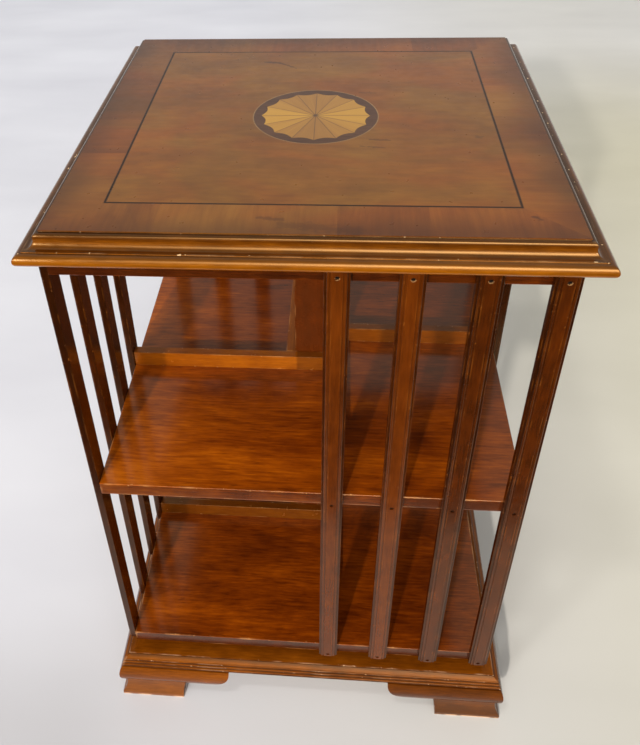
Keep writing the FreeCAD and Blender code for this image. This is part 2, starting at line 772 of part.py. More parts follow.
def make_slats():
    """Every slat has three screw holes, sunk so that the heads lie below its face."""
    bores = loose_shapes("slat_bores", slat_screws(size("screw_clearance")) + slat_screw_sinkings())
    for turn, side in enumerate(SIDES):
        for number in range(int(size("slat_count"))):
            blank = slat(f"slat_body_{side}_{number + 1}", turn, number)
            keep(cut(f"slat_{side}_{number + 1}", blank, bores), f"slat_{side}_{number + 1}")
    keep(loose_shapes("slat_screw_set", slat_screws()), "slat_screws")


# ---------------------------------------------------------------- table top
def make_table():
    """A core with moulded lengths mitred round it, screwed down on the top board."""
    core = square_board("core_blank", "core_half", "moulding_height", "table_base")
    nut_recess = cylinder("nut_recess", "nut_recess_radius", "nut_recess_depth", "table_base")
    pilot_bores = loose_shapes("core_screw_bores", table_screws(size("screw_clearance")))
    keep(cut("core", core, nut_recess, pilot_bores), "table_core")
    keep(loose_shapes("table_screw_set", table_screws()), "table_screws")

    torus_top = "table_base + 2 * torus_radius"
    ledge = f"{torus_top} + ledge_drop"
    step = "veneer_base - moulding_step"
    section = [
        ("core_half", "table_base"),
        ("torus_line", "table_base", "torus_radius"),
        ("table_half", "table_base + torus_radius", "torus_radius"),
        ("torus_line", torus_top),
        ("ledge_line", torus_top),
        ("ledge_line", ledge),
        ("ovolo_line + cove_radius", ledge, "-cove_radius"),
        ("ovolo_line", f"{ledge} + cove_radius"),
        ("ovolo_line", f"{step} - ovolo_radius", "ovolo_radius"),
        ("ovolo_line - ovolo_radius", step),
        ("table_flat_half", step),
        ("table_flat_half", "veneer_base"),
        ("core_half", "veneer_base"),
    ]
    lengths = [mitred_length(f"moulding_length_{turn}", section, "core_half", "table_half", turn)
               for turn in range(len(SIDES))]
    keep(group("moulding_lengths", lengths), "table_moulding")


def veneer_strips(label, inner, outer):
    """Four mitred strips of veneer round a square."""
    section = [(inner, "veneer_base"), (outer, "veneer_base"), (outer, "table_height"),
               (inner, "table_height")]
    strips = [mitred_length(f"{label}_strip_{turn}", section, inner, outer, turn, "veneer_joint")
              for turn in range(len(SIDES))]
    keep(group(f"{label}_strips", strips), label)


def fan_wedges():
    """Wedges that meet at the centre, each with a hollow outer edge between two sharp tips."""
    count = int(size("fan_wedges"))
    level = size("veneer_base")

    def at(radius, steps):
        angle = 2 * math.pi * steps / count
        return Vector(radius * math.cos(angle), radius * math.sin(angle), level)

    wedges = []
    for number in range(count):
        centre = Vector(0, 0, level)
        near_tip = at(size("fan_tip_radius"), number)
        hollow = at(size("fan_hollow_radius"), number + 0.5)
        far_tip = at(size("fan_tip_radius"), number + 1)
        edges = [Part.LineSegment(centre, near_tip), Part.Arc(near_tip, hollow, far_tip),
                 Part.LineSegment(far_tip, centre)]
        face = Part.Face(Part.Wire([edge.toShape() for edge in edges]))
        wedges.append(face.extrude(Vector(0, 0, size("veneer_thickness"))))
    return wedges


def make_veneers():
    """The veneered face: fan, ground and line at the centre, field, stringing and crossbanding."""
    fan = keep(loose_shapes("fan_set", fan_wedges()), "patera_fan")
    ground_disc = cylinder("ground_disc", "fan_ground_radius", "veneer_thickness", "veneer_base")
    keep(cut("ground", ground_disc, fan), "patera_ground")
    line_disc = cylinder("line_disc", "patera_line_radius", "veneer_thickness", "veneer_base")
    keep(cut("line", line_disc, ground_disc), "patera_line")
    field = square_board("field_sheet", "field_half", "veneer_thickness", "veneer_base")
    keep(cut("field", field, line_disc), "field_veneer")
    veneer_strips("stringing", "field_half", "string_half")
    veneer_strips("crossbanding", "string_half", "table_flat_half")


# ---------------------------------------------------------------- build, check and write
def check(document):
    for thing in document.Objects:
        faults = [state for state in thing.State if state in ("Invalid", "Error")]
        if faults:
            raise RuntimeError(f"{thing.Label} is {faults}")
    for node in nodes:
        if node.Shape.isNull() or not node.Shape.isValid():
            raise RuntimeError(f"{node.Label} has no valid shape")


make_feet()
make_plinth()
make_swivel()
make_boards()
make_column()
make_rails()
make_slats()
make_table()
make_veneers()
doc.recompute()
check(doc)
os.makedirs("parts", exist_ok=True)
for node in nodes:
    node.Shape.exportStep(f"parts/{node.Label}.step")
    print(f"{node.Label:22s} solids {len(node.Shape.Solids):3d}  volume {node.Shape.Volume / 1000:9.2f} cm3")
print(f"{len(nodes)} nodes")
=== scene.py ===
"""The finish of a square revolving bookcase: red-brown lacquered wood, an inlaid top and a steel swivel.

Metres, +Z up.  The origin lies on the floor, on the swivel axis.  The slatted sides make a pinwheel:
each side is the one before it, turned a quarter round the axis.  Sections are drawn for the
right-hand side, as (reach from the axis, height), and run anticlockwise.
"""
import math

import bmesh
import bpy
import numpy as np
from mathutils import Matrix, Vector


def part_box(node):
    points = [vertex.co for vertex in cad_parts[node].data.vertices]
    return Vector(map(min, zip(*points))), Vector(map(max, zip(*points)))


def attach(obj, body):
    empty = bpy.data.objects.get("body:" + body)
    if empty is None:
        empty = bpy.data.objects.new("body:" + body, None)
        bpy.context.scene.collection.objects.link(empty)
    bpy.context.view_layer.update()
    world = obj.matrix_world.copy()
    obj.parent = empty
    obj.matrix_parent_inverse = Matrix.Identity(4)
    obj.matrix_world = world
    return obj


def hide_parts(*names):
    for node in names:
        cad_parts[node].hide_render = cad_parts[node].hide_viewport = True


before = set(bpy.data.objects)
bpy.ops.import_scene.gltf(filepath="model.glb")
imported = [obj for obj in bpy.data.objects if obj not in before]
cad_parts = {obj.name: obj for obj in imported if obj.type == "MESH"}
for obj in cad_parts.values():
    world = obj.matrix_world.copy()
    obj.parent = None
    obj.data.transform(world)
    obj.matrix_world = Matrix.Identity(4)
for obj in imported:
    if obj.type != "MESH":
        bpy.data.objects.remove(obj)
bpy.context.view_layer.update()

MM = 0.001

# ---------------------------------------------------------------- sizes
SIDES = ("right", "rear", "left", "front")
TIERS = ("lower", "upper")


def reach_of(node):
    """The outermost line of a square piece, from the axis."""
    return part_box(node)[1].x


def base_of(node):
    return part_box(node)[0].z


def top_of(node):
    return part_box(node)[1].z


def middle_of(node):
    """The level of a board's middle."""
    return (base_of(node) + top_of(node)) / 2


BOARD = reach_of("bottom_board")
SLAT_LOW, SLAT_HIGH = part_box("slat_right_1")
SLAT_WIDTH = SLAT_HIGH.y - SLAT_LOW.y
SLAT_THICKNESS = SLAT_HIGH.x - SLAT_LOW.x
SLAT_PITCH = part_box("slat_right_2")[0].y - SLAT_LOW.y
SLATS_A_SIDE = sum(name.startswith("slat_right_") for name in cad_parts)
SLAT_BAND = 10 * MM            # flat band down the middle of a slat
SLAT_QUIRK = 1.1 * MM
SLAT_QUIRK_DEPTH = 0.9 * MM
SLAT_BEAD = 2.4 * MM
SLAT_BEAD_DROP = 0.4 * MM
SLAT_EDGE_DROP = 2.0 * MM
SCREW_SINK = 1.2 * MM          # how deep in its hole a slat screw's head lies
SCREW_HEAD = 1.8 * MM          # radius
SCREW_HOLE = 1.4 * MM          # radius
SCREW_SHANK = 1.3 * MM         # radius
SCREW_CONE = 1.4 * MM          # height of the countersunk part
SCREW_LENGTH = 23 * MM
SCREW_LEVELS = (middle_of("bottom_board"), middle_of("middle_shelf"), base_of("table_moulding") - 11 * MM)
RAIL_LOW, RAIL_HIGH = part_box("lower_rail_right")
TABLE_TOP = top_of("field_veneer")
VENEER_BASE = base_of("field_veneer")
FAN_RADIUS = reach_of("patera_fan")
FAN_HOLLOW = FAN_RADIUS - 4 * MM
FAN_WEDGES = 16


# ---------------------------------------------------------------- node trees
class Flow:
    """A node's output, so that sums on outputs can be written as sums."""

    def __init__(self, tree, socket):
        self.tree = tree
        self.socket = socket

    def math(self, operation, other=0.0):
        return add(self.tree, "ShaderNodeMath", {0: self, 1: other}, operation=operation)

    def __add__(self, other):
        return self.math("ADD", other)

    def __sub__(self, other):
        return self.math("SUBTRACT", other)

    def __mul__(self, other):
        return self.math("MULTIPLY", other)

    def __truediv__(self, other):
        return self.math("DIVIDE", other)

    def ramp(self, low, high, start=0.0, end=1.0):
        """Ease from start to end as this goes from low to high."""
        return add(self.tree, "ShaderNodeMapRange",
                   {"Value": self, "From Min": low, "From Max": high, "To Min": start, "To Max": end},
                   interpolation_type="SMOOTHSTEP")


def feed(tree, socket, value):
    if isinstance(value, Flow):
        tree.links.new(value.socket, socket)
    else:
        socket.default_value = value


def add(tree, kind, inputs, output=0, **settings):
    """Add a node, feed its inputs and give back one of its outputs."""
    node = tree.nodes.new(kind)
    for name, value in settings.items():
        setattr(node, name, value)
    for name, value in inputs.items():
        feed(tree, node.inputs[name], value)
    return Flow(tree, node.outputs[output])


def parts(tree, vector):
    """A vector's three numbers, one by one."""
    split = tree.nodes.new("ShaderNodeSeparateXYZ")
    feed(tree, split.inputs[0], vector)
    return [Flow(tree, output) for output in split.outputs]


def upright(tree, height):
    """A vector that points straight up, or a turn round the upright axis."""
    return add(tree, "ShaderNodeCombineXYZ", {2: height})


def sum_of(tree, first, second):
    """Two vectors added."""
    return add(tree, "ShaderNodeVectorMath", {0: first, 1: second}, operation="ADD")


# ---------------------------------------------------------------- material building blocks
def paint(red, green, blue):
    """A colour as it shows, in steps of 255, for a shader's socket."""
    def linear(step):
        share = step / 255
        return share / 12.92 if share <= 0.04045 else ((share + 0.055) / 1.055) ** 2.4
    return (linear(red), linear(green), linear(blue), 1.0)


def noise(tree, vector, scale, detail=3.0, roughness=0.5, distortion=0.0, shift=(0, 0, 0)):
    """Noise from 0 to 1; scale is how often it changes in a metre, one number or one for each way."""
    scales = scale if isinstance(scale, tuple) else (scale, scale, scale)
    place = add(tree, "ShaderNodeVectorMath", {0: sum_of(tree, vector, shift), 1: scales},
                operation="MULTIPLY")
    return add(tree, "ShaderNodeTexNoise",
               {"Vector": place, "Scale": 1.0, "Detail": detail, "Roughness": roughness,
                "Distortion": distortion}, noise_dimensions="3D")


def mixed(tree, share, first, second, blend="MIX"):
    return add(tree, "ShaderNodeMix", {0: share, 6: first, 7: second}, output=2, data_type="RGBA",
               blend_type=blend)


def shades(tree, share, places, tones):
    """A colour ramp with these tones at these places."""
    ramp = tree.nodes.new("ShaderNodeValToRGB")
    ramp.color_ramp.interpolation = "B_SPLINE"
    ramp.color_ramp.elements.new(0.5)
    for element, place, tone in zip(ramp.color_ramp.elements, places, tones):
        element.position = place
        element.color = paint(*tone)
    feed(tree, ramp.inputs[0], share)
    return Flow(tree, ramp.outputs[0])


def attribute(tree, name, output="Fac"):
    return add(tree, "ShaderNodeAttribute", {}, output=output, attribute_name=name)


def place_on_piece(tree):
    return add(tree, "ShaderNodeTexCoord", {}, output="Object")


def new_material(name):
    material = bpy.data.materials.new(name)
    material.use_nodes = True
    return material, material.node_tree


def surface(tree, looks):
    """Set a material's looks, each by the name of the shader's input."""
    shader = tree.nodes["Principled BSDF"]
    for label, value in looks.items():
        feed(tree, shader.inputs[label], value)


def bumps(tree, height, distance):
    return add(tree, "ShaderNodeBump", {"Height": height, "Distance": distance, "Strength": 1.0})


# ---------------------------------------------------------------- wood under lacquer
def grain_figure(tree, fibre, plan):
    """How light the bare wood is at each place, about 0.5, and its fine streaks and pores."""
    tone = attribute(tree, "tone") * plan["tone_depth"]
    if plan["leaf"]:
        _, across, _ = parts(tree, fibre)
        number = (across / plan["leaf"]).math("FLOOR")
        chance = add(tree, "ShaderNodeTexWhiteNoise", {"W": number}, noise_dimensions="1D")
        tone = tone + (chance - 0.5) * 0.30
        fibre = sum_of(tree, fibre, add(tree, "ShaderNodeCombineXYZ", {0: chance}))
    sway = noise(tree, fibre, (4, 9, 9), detail=2.0) - 0.5
    lean = add(tree, "ShaderNodeCombineXYZ", {1: sway * plan["sway"], 2: sway * 0.010})
    fibre = sum_of(tree, fibre, lean)
    cloud = noise(tree, fibre, plan["cloud"], detail=3.0, roughness=0.5, distortion=0.3)
    hill = noise(tree, fibre, plan["rings"], detail=1.0, shift=(2, 4, 1))
    shown = noise(tree, fibre, (5, 14, 14), detail=1.0, shift=(5, 2, 7)).ramp(0.35, 0.65)
    rings = (hill * plan["ring_count"]).math("SINE").math("ABSOLUTE").ramp(0.0, 0.55, -1.0, 0.25) * shown
    streak = noise(tree, fibre, plan["streak"], detail=3.0, roughness=0.65)
    mottle = noise(tree, fibre, (40, 60, 60), detail=2.0, shift=(3, 1, 2))
    share = (cloud - 0.5) * plan["cloud_depth"] + rings * plan["ring_depth"]
    share = share + (streak - 0.5) * plan["streak_depth"] + (mottle - 0.5) * plan["mottle"]
    share = share + tone + 0.5
    pore = noise(tree, fibre, (60, 1300, 1300), detail=1.0, shift=(1, 5, 3)).ramp(0.62, 0.72)
    fleck = noise(tree, fibre, plan["fleck"], detail=2.0, shift=(7, 2, 1)).ramp(0.60, 0.72)
    return share, streak, pore * plan["pores"] + fleck * plan["flecks"]


def darker(tree, share, colour, red, green, blue):
    """A colour that is darkened by these factors where share is 1, and kept where it is 0."""
    return mixed(tree, share, colour, mixed(tree, 1.0, colour, (red, green, blue, 1), "MULTIPLY"))


# How each wood's figure runs: how often its clouds, rings, streaks and flecks come in a metre, along,
# across and through the grain, how strongly each shows, and how wide a leaf is where there is more than one.
BOARD_PLAN = {"leaf": 0.0, "sway": 0.02, "cloud": (6, 20, 20), "cloud_depth": 0.90, "rings": (1.3, 7, 7),
              "ring_count": 110.0, "ring_depth": 0.05, "streak": (30, 330, 330), "streak_depth": 0.75,
              "mottle": 0.3, "tone_depth": 0.2, "pores": 0.3, "fleck": (55, 340, 340), "flecks": 0.45}
SLAT_PLAN = BOARD_PLAN | {"cloud": (5, 70, 70), "cloud_depth": 0.45, "rings": (2.0, 20, 20),
                          "ring_depth": 0.02, "streak": (50, 600, 600), "streak_depth": 0.55,
                          "mottle": 0.45, "pores": 0.15, "flecks": 0.15}
VENEER_PLAN = BOARD_PLAN | {"sway": 0.03, "cloud": (9, 20, 20), "cloud_depth": 0.65, "rings": (3.0, 9, 9),
                            "ring_depth": 0.04, "ring_count": 60.0, "streak": (34, 160, 160),
                            "streak_depth": 0.55, "mottle": 0.35, "pores": 0.12, "flecks": 0.0}
BAND_PLAN = VENEER_PLAN | {"leaf": 0.075, "cloud": (5, 24, 24), "cloud_depth": 0.6,
                           "streak": (14, 240, 240)}
MOULDING_PLAN = SLAT_PLAN | {"cloud": (5, 60, 60), "cloud_depth": 0.7, "streak_depth": 0.6}
AMBER = (1.0, 0.56, 0.20, 1.0)     # what the lacquer tints the light that it mirrors


def lacquered_wood(name, tones, plan=BOARD_PLAN, gloss=0.14, waves=0.25, coat=0.4, sheen=0.6, hollow_dirt_and_painted_shade=0.45,
                   bare_wood_and_highlight=(196, 142, 84), rubs_and_painted_highlight=0.25, chips=0.5, extra=None):
    """Stained wood under a thick amber lacquer; tones are its darkest, middle and lightest colours."""
    material, tree = new_material(name)
    here = place_on_piece(tree)
    share, streak, dashes = grain_figure(tree, attribute(tree, "grain", "Vector"), plan)
    colour = shades(tree, share, (0.12, 0.5, 0.88), tones)
    colour = darker(tree, dashes, colour, 0.42, 0.34, 0.30)
    if extra:
        colour = extra(tree, here, colour)
    # Painted shade, a little uneven, on the faces that each piece marks for it.
    cloudy = noise(tree, here, 30, detail=2.0, shift=(6, 1, 8)).ramp(0.2, 0.7, 0.7, 1.0)
    colour = darker(tree, attribute(tree, "toner_and_painted_shade") * cloudy, colour, 0.20, 0.17, 0.16)

    arris = attribute(tree, "arris")
    on_arris = arris.ramp(0.25, 0.95)
    rub_and_highlight_patches = noise(tree, here, 40, detail=3.0).ramp(0.45, 0.70)
    chipped = noise(tree, here, 230, detail=2.0, shift=(2, 2, 2)).ramp(0.67, 0.71)
    hollow = (arris * -1.0).ramp(0.2, 0.9)
    # Rubbed arrises show bare wood, which on slats, shelf edges and reed tops is also painted highlight;
    # chips show bare wood.
    colour = mixed(tree, on_arris * rub_and_highlight_patches * rubs_and_painted_highlight, colour, paint(*bare_wood_and_highlight))
    colour = mixed(tree, on_arris * chipped * chips, colour, paint(*bare_wood_and_highlight))
    # Sunk corners are darkened, partly by dirt and partly as painted shade.
    colour = darker(tree, hollow * hollow_dirt_and_painted_shade, colour, 0.16, 0.13, 0.11)

    orange_peel = noise(tree, here, 110, detail=2.0)
    swell = noise(tree, here, 26, detail=1.0, shift=(4, 4, 4))
    height = swell * waves + orange_peel * 0.06 + streak * 0.03 - dashes * 0.02 - on_arris * chipped * 0.25
    surface(tree, {
        "Base Color": colour,
        "Roughness": orange_peel.ramp(0.2, 0.8, gloss + 0.03, gloss + 0.12),
        "Normal": bumps(tree, height, 0.6 * MM),
        "Coat Normal": bumps(tree, height, 0.5 * MM),
        "Specular IOR Level": sheen,
        "Specular Tint": AMBER,
        "Coat Weight": coat,
        "Coat Roughness": gloss,
        "Coat IOR": 1.5})
    return material


def square_reach(tree, here):
    """How far out a place lies from the axis, counted squarely."""
    across, along, _ = parts(tree, here)
    return across.math("ABSOLUTE").math("MAXIMUM", along.math("ABSOLUTE"))


MARKS = (                      # dents and stains on the top: two ends, half width and depth of colour
    ((-0.0618, 0.1436), (-0.0453, 0.1404), 2.2 * MM, 0.90),
    ((-0.0453, 0.1404), (-0.0261, 0.1252), 1.6 * MM, 0.80),
    ((0.0450, 0.0562), (0.0620, 0.0555), 1.2 * MM, 0.60),
    ((0.0540, -0.0530), (0.0720, -0.0545), 1.6 * MM, 0.60),
    ((0.0448, -0.0667), (0.0669, -0.0700), 1.4 * MM, 0.60),
    ((0.1549, -0.0467), (0.1570, -0.0470), 3.0 * MM, 0.50),
    ((0.1820, -0.1891), (0.1854, -0.1921), 2.4 * MM, 0.70),
    ((-0.0400, -0.1960), (-0.0200, -0.1990), 3.0 * MM, 0.45),
    ((-0.0200, -0.2060), (0.0400, -0.2140), 6.0 * MM, 0.35))


def mark(tree, here, start, end, width, depth):
    """How much a mark darkens each place: it lies between two points and has ragged edges."""
    across, along, _ = parts(tree, here)
    reach = Vector(end) - Vector(start)
    place = (across - start[0]) * (reach.x / reach.length_squared)
    place = place + (along - start[1]) * (reach.y / reach.length_squared)
    place = place.math("MAXIMUM", 0.0).math("MINIMUM", 1.0)
    aside = across - place * reach.x - start[0]
    ahead = along - place * reach.y - start[1]
    away = (aside * aside + ahead * ahead).math("SQRT")
    ragged = noise(tree, here, (200, 320, 200), detail=2.0) - 0.5
    return (away + ragged * width * 3.0).ramp(width * 0.4, width * 1.2, depth, 0.0)


def aged_top(tree, here, colour):
    """The top has faded unevenly, is sprayed darker towards its edges, and has glue lines and marks."""
    faded = noise(tree, here, (9, 14, 9), detail=3.0, distortion=0.6, shift=(3, 3, 0))
    colour = darker(tree, faded.ramp(0.35, 0.65, 1.0, 0.0), colour, 1.12, 0.84, 0.60)
    reach = square_reach(tree, here)
    patchy = noise(tree, here, 7, detail=2.0)
    toner_and_painted_shade = (reach + (patchy - 0.5) * 0.05).ramp(0.180, 0.224, 0.0, 0.85)
    colour = darker(tree, toner_and_painted_shade, colour, 0.40, 0.38, 0.42)
    line = (reach_of("field_veneer") + reach_of("stringing")) / 2
    glue = (reach - line).math("ABSOLUTE").ramp(1.0 * MM, 1.6 * MM, 0.75, 0.0)
    for start, end, width, depth in MARKS:
        glue = glue.math("MAXIMUM", mark(tree, here, start, end, width, depth))
    return darker(tree, glue, colour, 0.22, 0.16, 0.12)


def painted_shade_on_stops(tree, here, colour):
    """Painted shade: the book stops below the middle shelf are darker, as in its shadow, and so is the right
    one.
    """
    across, _, upward = parts(tree, here)
    below = upward.ramp(base_of("middle_shelf"), top_of("middle_shelf"), 0.9, 0.0)
    rightmost = across.ramp(RAIL_LOW.x, RAIL_LOW.x + 4 * MM, 0.0, 0.6)
    return darker(tree, below.math("MAXIMUM", rightmost), colour, 0.26, 0.22, 0.20)


def scuffed_feet(tree, here, colour):
    """The feet are a little paler and greyer low down, and bare here and there along the floor."""
    _, _, upward = parts(tree, here)
    colour = mixed(tree, upward.ramp(20 * MM, 36 * MM, 0.05, 0.0), colour, paint(160, 150, 130))
    patches = noise(tree, here, 60, detail=3.0, shift=(1, 4, 2)).ramp(0.40, 0.55, 0.1, 0.75)
    return mixed(tree, upward.ramp(1.2 * MM, 2.6 * MM, 1.0, 0.0) * patches, colour, paint(214, 170, 130))


def screw_rims(tree, here, colour):
    """The lacquer has flaked off the lower rim of each slat's upper screw hole."""
    _, across, upward = parts(tree, attribute(tree, "spot", "Vector"))
    flake = noise(tree, here, 700, detail=1.0).ramp(0.35, 0.50)
    below = upward - (SCREW_LEVELS[-1] - SLAT_LOW.z)
    away = (across * across + below * below).math("SQRT")
    rim = away.ramp(SCREW_HEAD + 0.3 * MM, SCREW_HEAD + 0.7 * MM, 0.4, 0.0)
    rim = rim * below.ramp(-0.2 * MM, 0.8 * MM, 1.0, 0.0) * flake
    return mixed(tree, rim, colour, paint(206, 158, 104))


def metal(name, tone, roughness):
    """Turned or rolled metal with fine scratches, tarnished in places."""
    material, tree = new_material(name)
    here = place_on_piece(tree)
    scratches = noise(tree, here, (600, 600, 30), detail=3.0)
    tarnish = noise(tree, here, 60, detail=3.0).ramp(0.4, 0.75)
    surface(tree, {
        "Base Color": darker(tree, tarnish * 0.6, paint(*tone), 0.35, 0.32, 0.28),
        "Roughness": scratches.ramp(0.3, 0.7, roughness, roughness + 0.15),
        "Normal": bumps(tree, scratches + tarnish * 0.5, 0.02 * MM),
        "Metallic": 1.0})
    return material


def plain_pine(name):
    material, tree = new_material(name)
    here = place_on_piece(tree)
    rings = noise(tree, here, (6, 110, 40), detail=3.0, distortion=0.5)
    fuzz = noise(tree, here, (60, 900, 900), detail=2.0)
    surface(tree, {
        "Base Color": shades(tree, rings * 0.8 + fuzz * 0.2, (0.25, 0.5, 0.8),
                             ((150, 104, 62), (196, 152, 100), (214, 176, 124))),
        "Normal": bumps(tree, fuzz, 0.2 * MM),
        "Roughness": 0.75})
    return material


def fan_veneer(name):
    """Golden wedges: each is scorched along one edge, and has a painted sheen by the way its grain runs."""
    material, tree = new_material(name)
    here = place_on_piece(tree)
    across, along, _ = parts(tree, here)
    angle = along.math("ARCTAN2", across) + 2 * math.pi
    turns = angle * (FAN_WEDGES / (2 * math.pi))
    within = turns.math("FRACT")
    middle = (turns.math("FLOOR") + 0.5) * (2 * math.pi / FAN_WEDGES)
    # Painted sheen: wedges whose grain runs along X are painted lighter.
    sheen = middle.math("COSINE").math("ABSOLUTE").math("POWER", 2.2)
    reach = (across * across + along * along).math("SQRT")

    fibre = attribute(tree, "grain", "Vector")
    lines = noise(tree, fibre, (30, 900, 900), detail=3.0)
    figure = noise(tree, fibre, (14, 160, 160), detail=2.0)
    share = sheen * 0.62 + (lines - 0.5) * 0.28 + (figure - 0.5) * 0.3
    share = share + attribute(tree, "tone") * 0.10 + 0.18
    colour = shades(tree, share, (0.05, 0.45, 0.95), ((136, 92, 38), (158, 110, 42), (190, 141, 48)))
    scorch = within.ramp(0.0, 0.35, 0.45, 0.0) * reach.ramp(0.0, FAN_RADIUS, 0.9, 0.4)
    seam_width = 0.35 * MM * FAN_WEDGES / (2 * math.pi)
    seam = within.math("MINIMUM", within * -1.0 + 1.0) * reach
    seam = seam.ramp(seam_width * 0.4, seam_width * 1.6, 0.8, 0.0)
    ragged = noise(tree, here, 300, detail=2.0, shift=(1, 6, 2)) - 0.5
    eye = (reach + ragged * 4 * MM).ramp(1.4 * MM, 4.0 * MM, 1.0, 0.0)
    colour = mixed(tree, scorch, colour, paint(128, 80, 38))
    swell = noise(tree, here, 22, detail=1.0, shift=(4, 4, 4))
    surface(tree, {
        "Base Color": mixed(tree, seam.math("MAXIMUM", eye), colour, paint(74, 46, 26)),
        "Normal": bumps(tree, lines * 0.03 + swell * 0.12, 0.6 * MM),
        "Roughness": 0.30,
        "Specular IOR Level": 0.6,
        "Specular Tint": AMBER,
        "Coat Weight": 0.4,
        "Coat Roughness": 0.24})
    return material


VENEER = {"gloss": 0.24, "waves": 0.05, "coat": 0.3, "rubs_and_painted_highlight": 0.0, "chips": 0.0}
INLAID_LINE = VENEER | {"gloss": 0.26}
# Each wood's darkest, middle and lightest colours, and how its finish, painted shade and painted highlight
# differ from the plain one.
WOODS = {
    "board_mahogany": (
        ((80, 28, 2), (136, 58, 3), (190, 100, 10)),
        {"gloss": 0.12, "waves": 0.16, "coat": 0.3, "rubs_and_painted_highlight": 0.35}),
    "slat_mahogany": (
        ((38, 12, 1), (66, 24, 1), (94, 41, 3)),
        {"plan": SLAT_PLAN, "gloss": 0.12, "waves": 0.10, "coat": 0.06, "sheen": 0.5, "hollow_dirt_and_painted_shade": 0.05,
         "bare_wood_and_highlight": (122, 66, 14), "extra": screw_rims}),
    "rail_mahogany": (
        ((108, 48, 3), (147, 74, 3), (180, 102, 11)),
        {"plan": SLAT_PLAN, "gloss": 0.16, "waves": 0.12, "coat": 0.1, "extra": painted_shade_on_stops}),
    "column_mahogany": (
        ((50, 17, 2), (73, 26, 2), (95, 38, 3)),
        {"plan": SLAT_PLAN, "gloss": 0.18, "waves": 0.12, "coat": 0.06, "sheen": 0.4}),
    "moulding_mahogany": (
        ((54, 23, 1), (90, 44, 1), (134, 74, 3)),
        {"plan": MOULDING_PLAN, "gloss": 0.05, "waves": 0.30, "coat": 0.06, "sheen": 1.0, "chips": 1.0,
         "hollow_dirt_and_painted_shade": 0.9, "bare_wood_and_highlight": (222, 184, 136), "rubs_and_painted_highlight": 0.12}),
    "plinth_mahogany": (
        ((68, 30, 2), (102, 49, 3), (134, 70, 8)),
        {"plan": MOULDING_PLAN, "waves": 0.26, "coat": 0.08, "sheen": 0.2, "chips": 1.0, "hollow_dirt_and_painted_shade": 0.6,
         "bare_wood_and_highlight": (214, 170, 130), "rubs_and_painted_highlight": 0.35, "extra": scuffed_feet}),
    "field_veneer": (
        ((83, 47, 9), (115, 70, 15), (138, 91, 26)), VENEER | {"plan": VENEER_PLAN, "extra": aged_top}),
    "crossbanding": (
        ((80, 44, 9), (110, 62, 13), (134, 85, 24)), VENEER | {"plan": BAND_PLAN, "extra": aged_top}),
    "ebony_line": (
        ((20, 10, 5), (30, 17, 8), (46, 28, 14)), INLAID_LINE | {"coat": 0.1, "sheen": 0.3}),
    "boxwood_line": (
        ((118, 88, 54), (138, 104, 64), (158, 122, 78)), INLAID_LINE | {"coat": 0.4}),
    "patera_ground": (
        ((58, 34, 22), (74, 46, 30), (92, 60, 40)), INLAID_LINE | {"coat": 0.25, "sheen": 0.5}),
}
METALS = {                     # colour and roughness
    "steel": ((168, 164, 158), 0.30),
    "bearing_steel": ((196, 196, 198), 0.16),
    "bronze": ((176, 128, 72), 0.32),
    "brass": ((206, 166, 92), 0.28),
    "blued_steel": ((58, 50, 44), 0.42),
}
MATERIALS = {name: lacquered_wood(name, tones, **finish) for name, (tones, finish) in WOODS.items()}
MATERIALS |= {"satinwood": fan_veneer("satinwood"), "pine": plain_pine("pine")}
MATERIALS |= {name: metal(name, tone, roughness) for name, (tone, roughness) in METALS.items()}


# ---------------------------------------------------------------- mesh building
def link(name, data):
    """Put something into the scene under this name."""
    made = bpy.data.objects.new(name, data)
    bpy.context.scene.collection.objects.link(made)
    return made


def new_object(name, points, faces):
    mesh = bpy.data.meshes.new(name)
    mesh.from_pydata([tuple(point) for point in points], [], faces)
    mesh.validate()
    return link(name, mesh)


def write_floats(mesh, name, domain, values):
    layer = mesh.attributes.get(name) or mesh.attributes.new(name, "FLOAT", domain)
    layer.data.foreach_set("value", np.asarray(values, np.float32).ravel())


def write_vectors(mesh, name, domain, values):
    layer = mesh.attributes.get(name) or mesh.attributes.new(name, "FLOAT_VECTOR", domain)
    layer.data.foreach_set("vector", np.asarray(values, np.float32).ravel())


def write_points(mesh, name, rule):
    """Store a number at every point, by the way that the surface faces there and where it lies."""
    write_floats(mesh, name, "POINT", [rule(point.normal, point.co) for point in mesh.vertices])


# The rows are along the grain, across it and through the board.
GRAIN = {"x": np.array([[1, 0, 0], [0, 1, 0], [0, 0, 1]], float),
         "y": np.array([[0, 1, 0], [1, 0, 0], [0, 0, 1]], float),
         "z": np.array([[0, 0, 1], [1, 0, 0], [0, 1, 0]], float)}
TREE_STEP = np.array([0.731, 0.417, 0.293])     # how far apart in the tree two boards were cut


def side_of(centre):
    """Which side a point belongs to, from the diagonals: 0 right, 1 rear, 2 left, 3 front."""
    if abs(centre[0]) >= abs(centre[1]):
        return 0 if centre[0] > 0 else 2
    return 1 if centre[1] > 0 else 3


def straight(letter, board=0):
    return lambda centre: (letter, board)


def following(board=0):
    """Grain that runs along each of the four sides."""
    return lambda centre: ("yx"[side_of(centre) % 2], board + side_of(centre))


def crossing(board=0):
    """Grain that runs across each of the four sides."""
    return lambda centre: ("xy"[side_of(centre) % 2], board + side_of(centre))


def lay_grain(mesh, pick):
    """Store every corner's place in the tree that its board was cut from."""
    points = np.array([vertex.co for vertex in mesh.vertices], float)
    places = np.zeros((len(mesh.loops), 3))
    for face in mesh.polygons:
        letter, board = pick(face.center)
        corners = points[list(face.vertices)]
        places[face.loop_start:face.loop_start + face.loop_total] = (
            corners @ GRAIN[letter].T + board * TREE_STEP)
    write_vectors(mesh, "grain", "CORNER", places)


